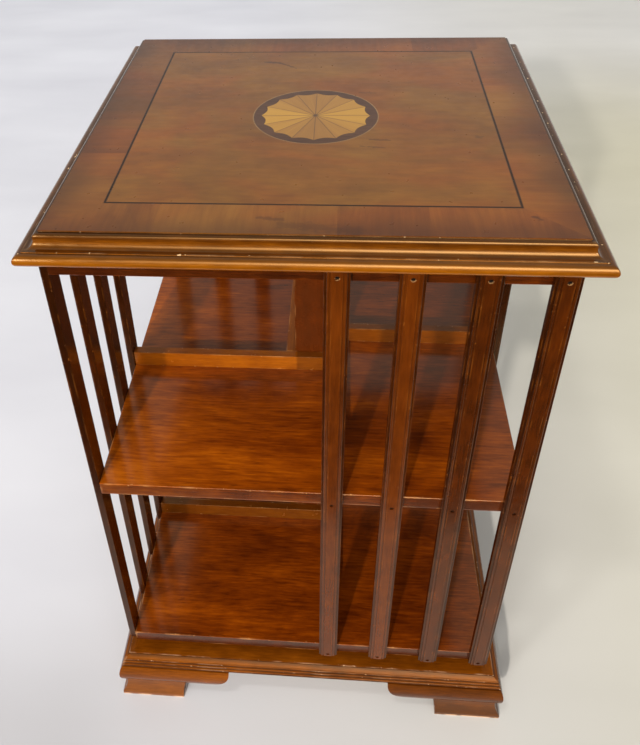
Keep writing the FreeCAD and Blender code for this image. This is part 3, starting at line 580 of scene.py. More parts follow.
def smooth(piece, angle=32):
    piece.data.shade_smooth()
    piece.data.set_sharp_from_angle(angle=math.radians(angle))
    piece.modifiers.new("flat_faces", "WEIGHTED_NORMAL").keep_sharp = True


def evaluated(piece, name):
    """The piece as its modifiers make it, as a plain object of that name; the piece is removed."""
    shown = bpy.context.evaluated_depsgraph_get()
    shown.update()
    mesh = bpy.data.meshes.new_from_object(piece.evaluated_get(shown), preserve_all_data_layers=True,
                                           depsgraph=shown)
    bpy.data.objects.remove(piece)
    mesh.name = name
    return link(name, mesh)


def face_outwards(piece):
    """Weld stray points together, drop slivers and point every face outwards."""
    work = bmesh.new()
    work.from_mesh(piece.data)
    bmesh.ops.remove_doubles(work, verts=work.verts, dist=0.01 * MM)
    bmesh.ops.dissolve_degenerate(work, edges=work.edges, dist=0.005 * MM)
    bmesh.ops.recalc_face_normals(work, faces=work.faces)
    work.to_mesh(piece.data)
    work.free()


def cut_away(piece, tool):
    """Have the piece lose what lies inside the tool."""
    cut = piece.modifiers.new(tool.name, "BOOLEAN")
    cut.operation = "DIFFERENCE"
    cut.solver = "EXACT"
    cut.object = tool


def fit(piece, body, material, *nodes):
    """Finish a piece: its material, the body it rides on and the solids it stands for."""
    if len(piece.data.materials) == 0:
        piece.data.materials.append(MATERIALS[material])
    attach(piece, body)
    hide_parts(*nodes)
    return piece


# ---------------------------------------------------------------- sections
def arc(centre, radius, start, end, steps=6):
    """Points on an arc of a section, from one angle to another, in degrees."""
    turns = np.radians(np.linspace(start, end, steps + 1))
    return [(centre[0] + radius * math.cos(turn), centre[1] + radius * math.sin(turn)) for turn in turns]


def soften(section, radius=0.5 * MM):
    """Round a section's sharp corners.

    Each point comes back with how much of an arris it is: 1 on a corner that stands out,
    -1 in one that is sunk, and 0 elsewhere.
    """
    hold = 2.2 * MM            # how far from a corner a long face has its next point
    softened = []
    for number, corner in enumerate(section):
        before = Vector(section[number - 1])
        here = Vector(corner)
        after = Vector(section[(number + 1) % len(section)])
        into = here - before
        out = after - here
        turn = math.atan2(into.x * out.y - into.y * out.x, into.dot(out))
        if abs(turn) < math.radians(28):
            softened.append((here.x, here.y, 0.0))
            continue
        back = min(radius, 0.35 * into.length, 0.35 * out.length)
        way_in, way_out = into.normalized(), out.normalized()
        sign = math.copysign(1.0, turn)
        if into.length > 3 * hold:
            spot = here - way_in * hold
            softened.append((spot.x, spot.y, 0.0))
        for share in (0.0, 0.33, 0.67, 1.0):
            incoming = (here - way_in * back).lerp(here, share)
            outgoing = here.lerp(here + way_out * back, share)
            spot = incoming.lerp(outgoing, share)
            softened.append((spot.x, spot.y, sign))
        if out.length > 3 * hold:
            spot = here + way_out * hold
            softened.append((spot.x, spot.y, 0.0))
    return softened


def rectangle(low, high):
    """A section between two corners."""
    return [(low[0], low[1]), (high[0], low[1]), (high[0], high[1]), (low[0], high[1])]


def strip_faces(rows, columns, close_rows=True):
    """Quads between neighbouring rows of points, each row being a closed section."""
    faces = []
    for row in range(rows if close_rows else rows - 1):
        ahead = (row + 1) % rows
        for column in range(columns):
            beside = (column + 1) % columns
            faces.append((row * columns + column, ahead * columns + column,
                          ahead * columns + beside, row * columns + beside))
    return faces


def tube_faces(rows, columns):
    """The faces between rows of points, from one row to the next, with both ends closed."""
    faces = strip_faces(rows, columns, close_rows=False)
    faces.append(tuple(range(columns)))
    faces.append(tuple(reversed(range((rows - 1) * columns, rows * columns))))
    return faces


def square_ring(name, section, pick, worn_from=None, corner=1.0 * MM, radius=0.5 * MM):
    """A section carried round a square, with its corners eased."""
    hold = 3 * MM
    softened = soften(section, radius)
    worn_from = max(x for x, _, _ in softened) - 0.1 * MM if worn_from is None else worn_from
    points, arrises = [], []
    for turn in range(4):
        quarter = Matrix.Rotation(math.pi / 2 * turn, 3, "Z")
        for station in (-1, 0, 1, 2, 3):
            for x, z, arris in softened:
                swing = math.radians(45 * min(max(station, 0), 2))
                ease = min(corner, 0.2 * x)
                spot = Vector((x - ease + ease * math.cos(swing), x - ease + ease * math.sin(swing), z))
                if station == -1:
                    spot.y -= min(hold, 0.2 * x)
                if station == 3:
                    spot.x -= min(hold, 0.2 * x)
                points.append(quarter @ spot)
                on_corner = station in (0, 1, 2) and x > worn_from
                arrises.append(1.0 if on_corner and arris >= 0 else arris)
    piece = new_object(name, points, strip_faces(20, len(softened)))
    write_floats(piece.data, "arris", "POINT", arrises)
    lay_grain(piece.data, pick)
    smooth(piece)
    return piece


def bar(name, section, length, ease=0.5 * MM):
    """A straight length along +Z of a softened section, with its ends eased; its grain is stored."""
    hold = 2.5 * MM
    softened = soften(section)
    across = [x for x, _, _ in softened]
    upward = [y for _, y, _ in softened]
    middle = ((min(across) + max(across)) / 2, (min(upward) + max(upward)) / 2)
    span = (max(across) - min(across), max(upward) - min(upward))
    stations = [(0.0, ease, 1.0), (0.3 * ease, 0.3 * ease, 1.0), (ease, 0.0, 1.0), (hold, 0.0, 0.0)]
    stations += [(length - level, shrink, arris) for level, shrink, arris in reversed(stations)]
    points, arrises = [], []
    for level, shrink, end_arris in stations:
        for x, y, arris in softened:
            points.append((middle[0] + (x - middle[0]) * (1 - 2 * shrink / span[0]),
                           middle[1] + (y - middle[1]) * (1 - 2 * shrink / span[1]), level))
            arrises.append(max(arris, end_arris) if arris >= 0 else arris)
    piece = new_object(name, points, tube_faces(len(stations), len(softened)))
    face_outwards(piece)
    write_floats(piece.data, "arris", "POINT", arrises)
    write_vectors(piece.data, "grain", "POINT", [(z, x, y) for x, y, z in points])
    return piece


# ---------------------------------------------------------------- geometry trees
def geometry_tree(name, **inputs):
    """A geometry tree with the host's own geometry, these named inputs, and one result."""
    tree = bpy.data.node_groups.new(name, "GeometryNodeTree")
    tree.interface.new_socket("Geometry", in_out="INPUT", socket_type="NodeSocketGeometry")
    for label, kind in inputs.items():
        tree.interface.new_socket(label, in_out="INPUT", socket_type=kind)
    tree.interface.new_socket("Geometry", in_out="OUTPUT", socket_type="NodeSocketGeometry")
    source = tree.nodes.new("NodeGroupInput")
    return tree, {socket.name: Flow(tree, socket) for socket in source.outputs if socket.name}


def stored(tree, geometry, name, value, kind, domain):
    return add(tree, "GeometryNodeStoreNamedAttribute",
               {"Geometry": geometry, "Name": name, "Value": value}, data_type=kind, domain=domain)


def end_tree(tree, geometry, material):
    """Make the copies real, move each to its own grain, give them their material and send them out."""
    real = add(tree, "GeometryNodeRealizeInstances", {"Geometry": geometry})
    fibre, shift = (add(tree, "GeometryNodeInputNamedAttribute", {"Name": name}, data_type="FLOAT_VECTOR")
                    for name in ("grain", "shift"))
    moved = stored(tree, real, "grain", sum_of(tree, fibre, shift), "FLOAT_VECTOR", "POINT")
    painted = add(tree, "GeometryNodeSetMaterial", {"Geometry": moved, "Material": material})
    sink = tree.nodes.new("NodeGroupOutput")
    feed(tree, sink.inputs["Geometry"], painted)


def pinwheel_tree():
    """Copies of the host in rows, and the rows round the upright axis; each copy has its own tone."""
    tree, given = geometry_tree("pinwheel", Copies="NodeSocketInt", Row="NodeSocketInt",
                                Step="NodeSocketVector", Turn="NodeSocketFloat", Seed="NodeSocketInt",
                                Material="NodeSocketMaterial")
    spots = add(tree, "GeometryNodeMeshLine", {"Count": given["Copies"], "Offset": (0, 0, 0)})
    number = add(tree, "GeometryNodeInputIndex", {})
    row = (number / given["Row"]).math("FLOOR")
    place = number - row * given["Row"]
    swing = row * given["Turn"]
    step = add(tree, "ShaderNodeVectorMath", {0: given["Step"], "Scale": place}, operation="SCALE")
    spot = add(tree, "ShaderNodeVectorRotate", {"Vector": step, "Angle": swing}, rotation_type="Z_AXIS")
    placed = add(tree, "GeometryNodeSetPosition", {"Geometry": spots, "Position": spot})
    facing = add(tree, "FunctionNodeEulerToRotation", {0: upright(tree, swing)})
    copies = add(tree, "GeometryNodeInstanceOnPoints",
                 {"Points": placed, "Instance": given["Geometry"], "Rotation": facing})
    tone = add(tree, "FunctionNodeRandomValue", {2: -1.0, 3: 1.0, "Seed": given["Seed"]}, output=1,
               data_type="FLOAT")
    shift = add(tree, "FunctionNodeRandomValue", {1: (9.0, 9.0, 9.0), "Seed": given["Seed"] + 1},
                data_type="FLOAT_VECTOR")
    toned = stored(tree, copies, "tone", tone, "FLOAT", "INSTANCE")
    shifted = stored(tree, toned, "shift", shift, "FLOAT_VECTOR", "INSTANCE")
    end_tree(tree, shifted, given["Material"])
    return tree


def screw_tree():
    """A column of countersunk screws that point along -X, heads outwards, each with a cut slot."""
    tree, given = geometry_tree("screw_column", Head="NodeSocketFloat", Shank="NodeSocketFloat",
                                Depth="NodeSocketFloat", Length="NodeSocketFloat", Seed="NodeSocketInt",
                                Material="NodeSocketMaterial")
    head = add(tree, "GeometryNodeMeshCone",
               {"Vertices": 24, "Radius Top": given["Head"], "Radius Bottom": given["Shank"],
                "Depth": given["Depth"]})
    lifted = add(tree, "GeometryNodeTransform",
                 {"Geometry": head, "Translation": upright(tree, given["Depth"] * -1.0)})
    shank = add(tree, "GeometryNodeMeshCylinder",
                {"Vertices": 12, "Radius": given["Shank"], "Depth": given["Length"]})
    sunk = add(tree, "GeometryNodeTransform",
               {"Geometry": shank, "Translation": upright(tree, given["Length"] * -0.5 - given["Depth"])})
    blade = add(tree, "ShaderNodeCombineXYZ",
                {0: given["Head"] * 2.4, 1: given["Head"] * 0.3, 2: given["Depth"]})
    slot = add(tree, "GeometryNodeMeshCube", {"Size": blade})
    slotted = add(tree, "GeometryNodeMeshBoolean", {"Mesh 1": lifted, "Mesh 2": slot},
                  operation="DIFFERENCE")
    joined = tree.nodes.new("GeometryNodeJoinGeometry")
    for part in (slotted, sunk):
        tree.links.new(part.socket, joined.inputs[0])
    turned = add(tree, "FunctionNodeRandomValue", {3: math.pi, "Seed": given["Seed"]}, output=1,
                 data_type="FLOAT")
    aim = add(tree, "FunctionNodeRotateRotation",
              {0: add(tree, "FunctionNodeEulerToRotation", {0: upright(tree, turned)}),
               1: add(tree, "FunctionNodeEulerToRotation", {0: (0.0, math.pi / 2, 0.0)})})
    copies = add(tree, "GeometryNodeInstanceOnPoints",
                 {"Points": given["Geometry"], "Instance": Flow(tree, joined.outputs[0]), "Rotation": aim})
    end_tree(tree, copies, given["Material"])
    return tree


def grown(host, name, tree, material, **sizes):
    """Run a geometry tree on the host and keep the result as a plain mesh."""
    modifier = host.modifiers.new(tree.name, "NODES")
    modifier.node_group = tree
    sizes["Material"] = MATERIALS[material]
    for socket in tree.interface.items_tree:
        if socket.in_out == "INPUT" and socket.name in sizes:
            modifier[socket.identifier] = sizes[socket.name]
    host.update_tag()
    return evaluated(host, name)


# ---------------------------------------------------------------- carcass
# How light each board is at its middle, and how much lighter towards its right and its rear edge: these last
# two are negative, as painted shade.
BOARD_TONE_AND_PAINTED_SHADE = {"bottom_board": (-1.3, -0.35, 0.0), "middle_shelf": (-1.15, -0.95, -0.70),
              "top_board": (-1.0, 0.0, 0.0)}
# Painted shade on each board's upright faces; the top board's edge, under the moulding, gets the most.
EDGE_PAINTED_SHADE = {"bottom_board": 1.0, "middle_shelf": 0.9, "top_board": 1.2}


def make_boards():
    """Bottom board, middle shelf and top board, each one wide panel with its grain from left to right."""
    column = reach_of("column_right") + 0.2 * MM
    bore = 12 * MM
    housing = 4 * MM
    for number, node in enumerate(BOARD_TONE_AND_PAINTED_SHADE):
        base, top = base_of(node), top_of(node)
        section = rectangle((column, base), (BOARD, top))
        if node == "bottom_board":
            section = [(bore, base), (BOARD, base), (BOARD, top), (column, top), (column, top - housing),
                       (bore, top - housing)]
        if node == "top_board":
            section = [(column, base), (BOARD, base), (BOARD, top), (bore, top), (bore, base + housing),
                       (column, base + housing)]
        board = square_ring(node, section, straight("x", number + 3), radius=0.9 * MM)
        even, rightward, rearward = BOARD_TONE_AND_PAINTED_SHADE[node]
        # Painted shade: the board darkens towards its right and its rear.
        write_points(board.data, "tone",
                     lambda normal, place: even + (rightward * place.x + rearward * place.y) / BOARD)
        # Painted shade on the board's upright faces.
        write_points(board.data, "toner_and_painted_shade", lambda normal, place: EDGE_PAINTED_SHADE[node] * (1 - abs(normal.z)))
        if node == "top_board":
            write_points(board.data, "arris", lambda normal, place: 0.0)
        fit(board, "carcass", "board_mahogany", node)


def make_column():
    for side in SIDES:
        node = f"column_{side}"
        low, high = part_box(node)
        board = bar(f"{node}_wood", rectangle((low.x, low.y), (high.x, high.y)), high.z - low.z)
        board.data.transform(Matrix.Translation((0, 0, low.z)))
        smooth(board)
        fit(board, "carcass", "column_mahogany", node)


def make_rails(pinwheel):
    """The book stops: one drawn on the right, and copies of it on each side of both tiers."""
    length = RAIL_HIGH.x - RAIL_LOW.x
    height = RAIL_HIGH.z - RAIL_LOW.z
    rail = bar("rail", rectangle((0, RAIL_LOW.y), (height, RAIL_HIGH.y)), length, ease=0.8 * MM)
    lay_along_x = Matrix(((0, 0, 1, RAIL_LOW.x), (0, 1, 0, 0), (1, 0, 0, RAIL_LOW.z), (0, 0, 0, 1)))
    rail.data.transform(lay_along_x)
    rail.data.flip_normals()
    rise = base_of("upper_rail_right") - RAIL_LOW.z
    # Painted shade on the upward faces of the book stops.
    write_points(rail.data, "toner_and_painted_shade", lambda normal, place: 0.35 * max(0.0, normal.z))
    rails = grown(rail, "book_stops", pinwheel, "rail_mahogany", Copies=8, Row=2, Step=(0.0, 0.0, rise),
                  Turn=math.pi / 2, Seed=4)
    smooth(rails)
    fit(rails, "carcass", "rail_mahogany", *[f"{tier}_rail_{side}" for tier in TIERS for side in SIDES])


def slat_section():
    """A slat's outline: flat band, quirks, beads and set-back edges, as one half and its mirror image."""
    face = SLAT_THICKNESS
    band = SLAT_BAND / 2
    bead_start = band + SLAT_QUIRK
    bead_end = bead_start + SLAT_BEAD
    bead_face = face - SLAT_BEAD_DROP
    edge_face = face - SLAT_EDGE_DROP
    crown = [(bead_face + lift, bead_start + share * SLAT_BEAD)
             for share, lift in ((0.0, -0.3 * MM), (0.25, 0.05 * MM), (0.5, 0.25 * MM), (0.75, 0.05 * MM),
                                 (1.0, -0.3 * MM))]
    half = [(face, band), (face - SLAT_QUIRK_DEPTH, band), (face - SLAT_QUIRK_DEPTH, bead_start)]
    half += crown + [(edge_face, bead_end), (edge_face, SLAT_WIDTH / 2), (0.0, SLAT_WIDTH / 2)]
    return [(x, -y) for x, y in reversed(half)] + half


def screw_well():
    """The tool that sinks the screw holes: a short well with a countersink below it."""
    steps = 20
    face = SLAT_THICKNESS
    lines = [(face + 1 * MM, SCREW_HEAD + 0.25 * MM), (face - SCREW_SINK, SCREW_HEAD + 0.1 * MM),
             (face - SCREW_SINK - SCREW_CONE, SCREW_HOLE), (-1 * MM, SCREW_HOLE)]
    points, faces = [], []
    for level in SCREW_LEVELS:
        first = len(points)
        faces += [tuple(first + corner for corner in face) for face in tube_faces(len(lines), steps)]
        for x, radius in lines:
            for step in range(steps):
                turn = 2 * math.pi * step / steps
                points.append((x, radius * math.cos(turn), level - SLAT_LOW.z + radius * math.sin(turn)))
    well = new_object("screw_wells", points, faces)
    face_outwards(well)
    return well


def slat_painted_shade(normal, place):
    """A slat gets painted shade on its sides and set-back strips, a little on its beads, and none on its
    band.
    """
    if normal.x < -0.5:
        return 0.3
    if abs(place.y) > SLAT_BAND / 2 + SLAT_QUIRK + SLAT_BEAD - 0.05 * MM:
        return 0.8
    if abs(place.y) > SLAT_BAND / 2 + 0.1 * MM:
        return 0.22
    return 0.0


def make_slats(pinwheel):
    slat = bar("slat", slat_section(), SLAT_HIGH.z - SLAT_LOW.z, ease=0.3 * MM)
    wells = screw_well()
    cut_away(slat, wells)
    drilled = evaluated(slat, "slat_drilled")
    bpy.data.objects.remove(wells)
    spots = [tuple(vertex.co) for vertex in drilled.data.vertices]
    write_vectors(drilled.data, "grain", "POINT", [(z, x, y) for x, y, z in spots])
    write_vectors(drilled.data, "spot", "POINT", spots)
    # Painted shade on the slat's sides, set-back strips and beads.
    write_points(drilled.data, "toner_and_painted_shade", slat_painted_shade)
    first = (SLAT_LOW.x, (SLAT_LOW.y + SLAT_HIGH.y) / 2, SLAT_LOW.z)
    drilled.data.transform(Matrix.Translation(first))
    slats = grown(drilled, "slats", pinwheel, "slat_mahogany", Copies=4 * SLATS_A_SIDE, Row=SLATS_A_SIDE,
                  Step=(0.0, SLAT_PITCH, 0.0), Turn=math.pi / 2, Seed=373)
    smooth(slats, 40)
    names = [f"slat_{side}_{number + 1}" for side in SIDES for number in range(SLATS_A_SIDE)]
    fit(slats, "carcass", "slat_mahogany", *names)

    heads = new_object("screw_heads", [(BOARD + SLAT_THICKNESS - SCREW_SINK, first[1], level)
                                       for level in SCREW_LEVELS], [])
    column = grown(heads, "screw_column", screw_tree(), "blued_steel", Head=SCREW_HEAD,
                   Shank=SCREW_SHANK, Depth=SCREW_CONE, Length=SCREW_LENGTH, Seed=5)
    screws = grown(column, "slat_screws_slotted", pinwheel, "blued_steel", Copies=4 * SLATS_A_SIDE,
                   Row=SLATS_A_SIDE, Step=(0.0, SLAT_PITCH, 0.0), Turn=math.pi / 2, Seed=7)
    fit(screws, "carcass", "steel", "slat_screws")


# ---------------------------------------------------------------- table top
def make_table_moulding():
    """Step, ovolo, flat, cove, ledge and torus, from the veneer down to the carcass."""
    outer = reach_of("table_moulding")
    base, top = base_of("table_moulding"), top_of("table_moulding")
    torus = 5.5 * MM
    torus_line = outer - torus
    ledge_line = torus_line - 1.3 * MM
    cove = 5.7 * MM
    ovolo = 3.0 * MM
    cove_line = ledge_line - 3.0 * MM
    ovolo_line = cove_line - cove
    flat_line = ovolo_line - ovolo - 1.5 * MM
    ledge = base + 2 * torus + 0.9 * MM
    step = top - 0.8 * MM
    inner = flat_line - 20 * MM            # out of sight under the veneer
    section = [(inner, base)]
    section += arc((torus_line, base + torus), torus, -90, 90, 14)
    section += [(ledge_line, base + 2 * torus), (ledge_line, ledge)]
    section += arc((cove_line, ledge + cove), cove, -90, -180, 9)
    section += arc((ovolo_line - ovolo, step - ovolo), ovolo, 0, 90, 7)
    section += [(flat_line, step), (flat_line, top), (inner, top)]
    moulding = square_ring("table_edge_moulding", section, following(20), worn_from=flat_line,
                           corner=0.8 * MM, radius=0.4 * MM)
    # Painted shade on the faces of the moulding that look upwards.
    write_points(moulding.data, "toner_and_painted_shade",
                 lambda normal, place: 0.9 * max(0.0, min(1.0, 1.6 * normal.z - 0.6)))
    # Painted light: the torus is painted lighter, and the ovolo and step above the cove darker.
    write_points(moulding.data, "tone", lambda normal, place:
                 1.1 if place.z < ledge - 0.1 * MM else -1.2 if place.z > ledge + cove else 0.0)
    fit(moulding, "carcass", "moulding_mahogany", "table_moulding")
    return flat_line


def circle(radius):
    return lambda turn: radius


def square(half):
    return lambda turn: half / max(abs(math.cos(turn)), abs(math.sin(turn)))


def scallops(turn):
    """The edge of the fan: sharp tips with a hollow between each two."""
    within = (turn * FAN_WEDGES / (2 * math.pi)) % 1.0
    return FAN_HOLLOW + (FAN_RADIUS - FAN_HOLLOW) * (2 * within - 1) ** 2


def inlay(name, inner, outer, pick):
    """A sheet of veneer between two outlines round the axis."""
    steps = 256
    points, faces = [], []
    for step in range(steps):
        turn = 2 * math.pi * step / steps
        for line, level in ((inner, VENEER_BASE), (outer, VENEER_BASE),
                            (outer, TABLE_TOP), (inner, TABLE_TOP)):
            radius = line(turn)
            points.append((radius * math.cos(turn), radius * math.sin(turn), level))
    piece = new_object(name, points, strip_faces(steps, 4))
    lay_grain(piece.data, pick)
    piece.data.shade_smooth()
    piece.data.set_sharp_from_angle(angle=math.radians(50))
    return piece


BAND_TONE = (1.0, 0.0, -0.3, 0.0)        # the leaf on the right is the lightest


def make_inlay(pinwheel, flat_line):
    line = reach_of("patera_line")
    ground = line - 1.0 * MM
    field = reach_of("field_veneer")
    stringing = reach_of("stringing")
    fit(inlay("field_veneer_sheet", circle(line), square(field), straight("x", 40)), "carcass",
        "field_veneer", "field_veneer")
    fit(inlay("patera_line_ring", circle(ground), circle(line), straight("x", 41)), "carcass",
        "boxwood_line", "patera_line")
    fit(inlay("patera_ground_ring", scallops, circle(ground), straight("x", 42)), "carcass",
        "patera_ground", "patera_ground")

    steps = 8
    wedge_turn = 2 * math.pi / FAN_WEDGES
    outline = [(0.0, 0.0)]
    for step in range(steps + 1):
        turn = wedge_turn * step / steps
        radius = scallops(turn * 0.9999999)        # so that the last one still counts to this wedge
        outline.append((radius * math.cos(turn), radius * math.sin(turn)))
    points = [(x, y, level) for level in (TABLE_TOP, VENEER_BASE) for x, y in outline]
    wedge = new_object("fan_wedge", points, tube_faces(2, len(outline)))
    along = (math.cos(wedge_turn / 2), math.sin(wedge_turn / 2))
    write_vectors(wedge.data, "grain", "POINT",
                  [(x * along[0] + y * along[1], y * along[0] - x * along[1], z) for x, y, z in points])
    fan = grown(wedge, "patera_fan_wedges", pinwheel, "satinwood", Copies=FAN_WEDGES, Row=1,
                Step=(0.0, 0.0, 0.0), Turn=wedge_turn, Seed=3)
    fit(fan, "carcass", "satinwood", "patera_fan")

    for name, inner, outer, material, node in (
            ("stringing_lines", field, stringing, "ebony_line", "stringing"),
            ("crossband_leaves", stringing, flat_line, "crossbanding", "crossbanding")):
        section = rectangle((inner, VENEER_BASE), (outer, TABLE_TOP))
        strip = square_ring(name, section, crossing(50), corner=0.02 * MM, radius=0.02 * MM)
        write_points(strip.data, "tone", lambda normal, place: BAND_TONE[side_of(place)])
        fit(strip, "carcass", material, node)


# ---------------------------------------------------------------- plinth and feet
def make_plinth():
    base, top = base_of("plinth_frame"), top_of("plinth_frame")
    outer = reach_of("plinth_frame")
    reed, step = 2.2 * MM, 1.4 * MM
    line = outer - reed - 2 * step
    flat = line - 4.4 * MM
    rise = 1.4 * MM
    inner = reach_of("plinth_panel") - 8 * MM
    section = [(inner, base)]
    for number in (2, 1, 0):
        middle = (line + number * step, base + (2 * (2 - number) + 1) * reed)
        section += arc(middle, reed, -90, 90, 8)
    section += [(flat, top - rise), (flat, top), (inner, top)]
    plinth = square_ring("plinth_reeded_frame", section, following(60), worn_from=flat - 0.1 * MM,
                         corner=0.8 * MM, radius=0.35 * MM)
    # Painted shade on the reeds' upright faces.
    write_points(plinth.data, "toner_and_painted_shade",
                 lambda normal, place: max(0.0, min(0.9, 2.0 * (0.9 - abs(normal.z)))))
    # Painted highlight, partly real wear: the upper halves of the reeds count as worn arrises, so they show
    # pale lines.
    arrises = [entry.value for entry in plinth.data.attributes["arris"].data]
    write_floats(plinth.data, "arris", "POINT",
                 [0.55 if arris == 0 and 0.3 < vertex.normal.z < 0.9 else arris
                  for vertex, arris in zip(plinth.data.vertices, arrises)])
    fit(plinth, "base", "plinth_mahogany", "plinth_frame")


def foot_section(outer, height, wing_level):
    """The ogee of a foot: lip, hollow, ledge and bulge."""
    inner = outer - 22.5 * MM
    hollow_line = outer - 5.5 * MM
    bulge_line = outer - 2.5 * MM
    neck_line = outer - 4.5 * MM
    lip = 5 * MM
    curve = 30 * MM
    section = [(inner, 0.0), (outer, 0.0)]
    section += arc_through((outer, lip), (hollow_line, wing_level), -curve)
    section += arc_through((bulge_line, wing_level), (neck_line, height), curve)
    return section + [(inner, height)]


def arc_through(start, end, radius, steps=10):
    """The short arc between two points of a section; it bulges outwards for a positive radius."""
    start, end = Vector(start), Vector(end)
    chord = end - start
    left = Vector((-chord.y, chord.x)).normalized()
    rise = math.sqrt(radius * radius - chord.length_squared / 4)
    centre = (start + end) / 2 + left * math.copysign(rise, radius)
    first = math.degrees(math.atan2(start.y - centre.y, start.x - centre.x))
    last = math.degrees(math.atan2(end.y - centre.y, end.x - centre.x))
    last = first + (last - first + 180) % 360 - 180
    return arc(centre, abs(radius), first, last, steps)


def prism(name, outline, low, high):
    """A tool: an outline in the (Y, Z) plane carried along X."""
    points = [(x, y, z) for x in (low, high) for y, z in outline]
    tool = new_object(name, points, tube_faces(2, len(outline)))
    face_outwards(tool)
    return tool


FOOT_TONE = {"rear_right": 0.3, "rear_left": -0.2, "front_left": -0.3, "front_right": -1.8}


def make_feet():
    """Each foot turns its corner; a tool cuts the bracket outline out of both its faces."""
    outer, height = reach_of("foot_rear_right"), top_of("foot_rear_right")
    depth = 26.5 * MM
    wing_level = height - depth
    tip = outer - 144 * MM
    block = outer - 81 * MM
    flare = 6 * MM
    section = foot_section(outer, height, wing_level)
    spare = 2 * MM
    below = arc_through((block, 0), (block - flare, wing_level), 90 * MM, 5)
    outline = [(tip - spare, -spare), (block, -spare)] + below
    outline += arc((tip + depth, height), depth, -90, -180, 9)
    outline += [(tip, height + spare), (tip - spare, height + spare)]
    stations = [lambda x: (x, tip - spare / 2), lambda x: (x, x), lambda x: (tip - spare / 2, x)]
    points = [(*station(x), z) for station in stations for x, z in section]
    blank = new_object("foot_blank", points, tube_faces(len(stations), len(section)))
    face_outwards(blank)
    low, high = outer - 30 * MM, outer + 5 * MM
    tools = [prism("bracket_cut_a", outline, low, high), prism("bracket_cut_b", outline, low, high)]
    tools[1].data.transform(Matrix(((0, 1, 0, 0), (1, 0, 0, 0), (0, 0, 1, 0), (0, 0, 0, 1))))
    tools[1].data.flip_normals()
    for tool in tools:
        cut_away(blank, tool)
    bevel = blank.modifiers.new("eased_arrises", "BEVEL")
    bevel.width = 0.9 * MM
    bevel.segments = 3
    bevel.limit_method = "ANGLE"
    bevel.angle_limit = math.radians(35)
    foot = evaluated(blank, "foot")
    face_outwards(foot)
    for tool in tools:
        bpy.data.objects.remove(tool)
    for turn, corner in enumerate(("rear_right", "rear_left", "front_left", "front_right")):
        piece = link(f"foot_{corner}_bracket", foot.data.copy())
        piece.data.name = piece.name
        piece.data.transform(Matrix.Rotation(math.pi / 2 * turn, 4, "Z"))
        mark_eased_faces(piece.data, 1.0 * MM)
        write_points(piece.data, "tone", lambda normal, place: FOOT_TONE[corner])
        lay_grain(piece.data, following(70 + 4 * turn))
        smooth(piece)
        fit(piece, "base", "plinth_mahogany", f"foot_{corner}")
    bpy.data.objects.remove(foot)


def mark_eased_faces(mesh, width):
    """Count the narrow faces along a piece's eased edges as arrises."""
    arrises = np.zeros(len(mesh.loops))
    for face in mesh.polygons:
        corners = [mesh.vertices[corner].co for corner in face.vertices]
        longest = max((corners[n] - corners[n - 1]).length for n in range(len(corners)))
        if face.area / longest < width:
            arrises[face.loop_start:face.loop_start + face.loop_total] = 1.0
    write_floats(mesh, "arris", "CORNER", arrises)


# ---------------------------------------------------------------- solids that keep their own shape
KEPT = {
    "pine": ("foot_glue_blocks", "plinth_panel", "table_core"),
    "steel": ("spindle_flange", "flange_screws", "spindle", "bearing_plate", "bearing_plate_screws",
              "spindle_washer", "spindle_nut", "table_screws"),
    "bearing_steel": ("lower_race", "upper_race", "bearing_balls"),
    "bronze": ("spindle_bushes",),
    "brass": ("ball_cage",),
}


def finish_kept_solids():
    for material, nodes in KEPT.items():
        for node in nodes:
            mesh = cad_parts[node].data
            mesh.materials.clear()
            mesh.materials.append(MATERIALS[material])


# ---------------------------------------------------------------- stage
def make_floor():
    """A pale sheet, cooler at the left and warmer at the right; painted shade darkens its right side and
    greys it towards the front and by the feet.
    """
    half = 12.0
    floor = new_object("floor", [(-half, -half, 0), (half, -half, 0), (half, half, 0), (-half, half, 0)],
                       [(0, 1, 2, 3)])
    material, tree = new_material("floor_paper")
    here = place_on_piece(tree)
    side, depth, _ = parts(tree, here)
    cloud = noise(tree, here, (1.6, 4, 4), detail=3.0)
    cool = mixed(tree, cloud, paint(211, 210, 216), paint(240, 239, 243))
    warm = mixed(tree, cloud, paint(199, 192, 166), paint(225, 218, 194))
    # Painted shadow: the right side is warmer and also darker, less so far back.
    sheet = mixed(tree, side.ramp(-0.5, 0.9) * depth.ramp(1.2, 2.3, 1.0, 0.45), cool, warm)
    # Painted shade, greyer towards the front.
    sheet = mixed(tree, depth.ramp(-0.9, 2.2, 0.32, 0.0), sheet, paint(158, 155, 155))
    # Painted shade on the floor by the front left foot.
    corner = depth.ramp(-0.32, -0.08, 1.0, 0.0) * side.ramp(-0.34, -0.10, 0.45, 0.08)
    surface(tree, {"Base Color": mixed(tree, corner, sheet, paint(150, 146, 144)), "Roughness": 0.9,
                   "Specular IOR Level": 0.0})
    floor.data.materials.append(material)


def hide_from(piece, *rays):
    """Keep a thing out of what the camera sees, what gloss mirrors, or what lights and shades the rest."""
    for ray in rays:
        setattr(piece, f"visible_{ray}", False)


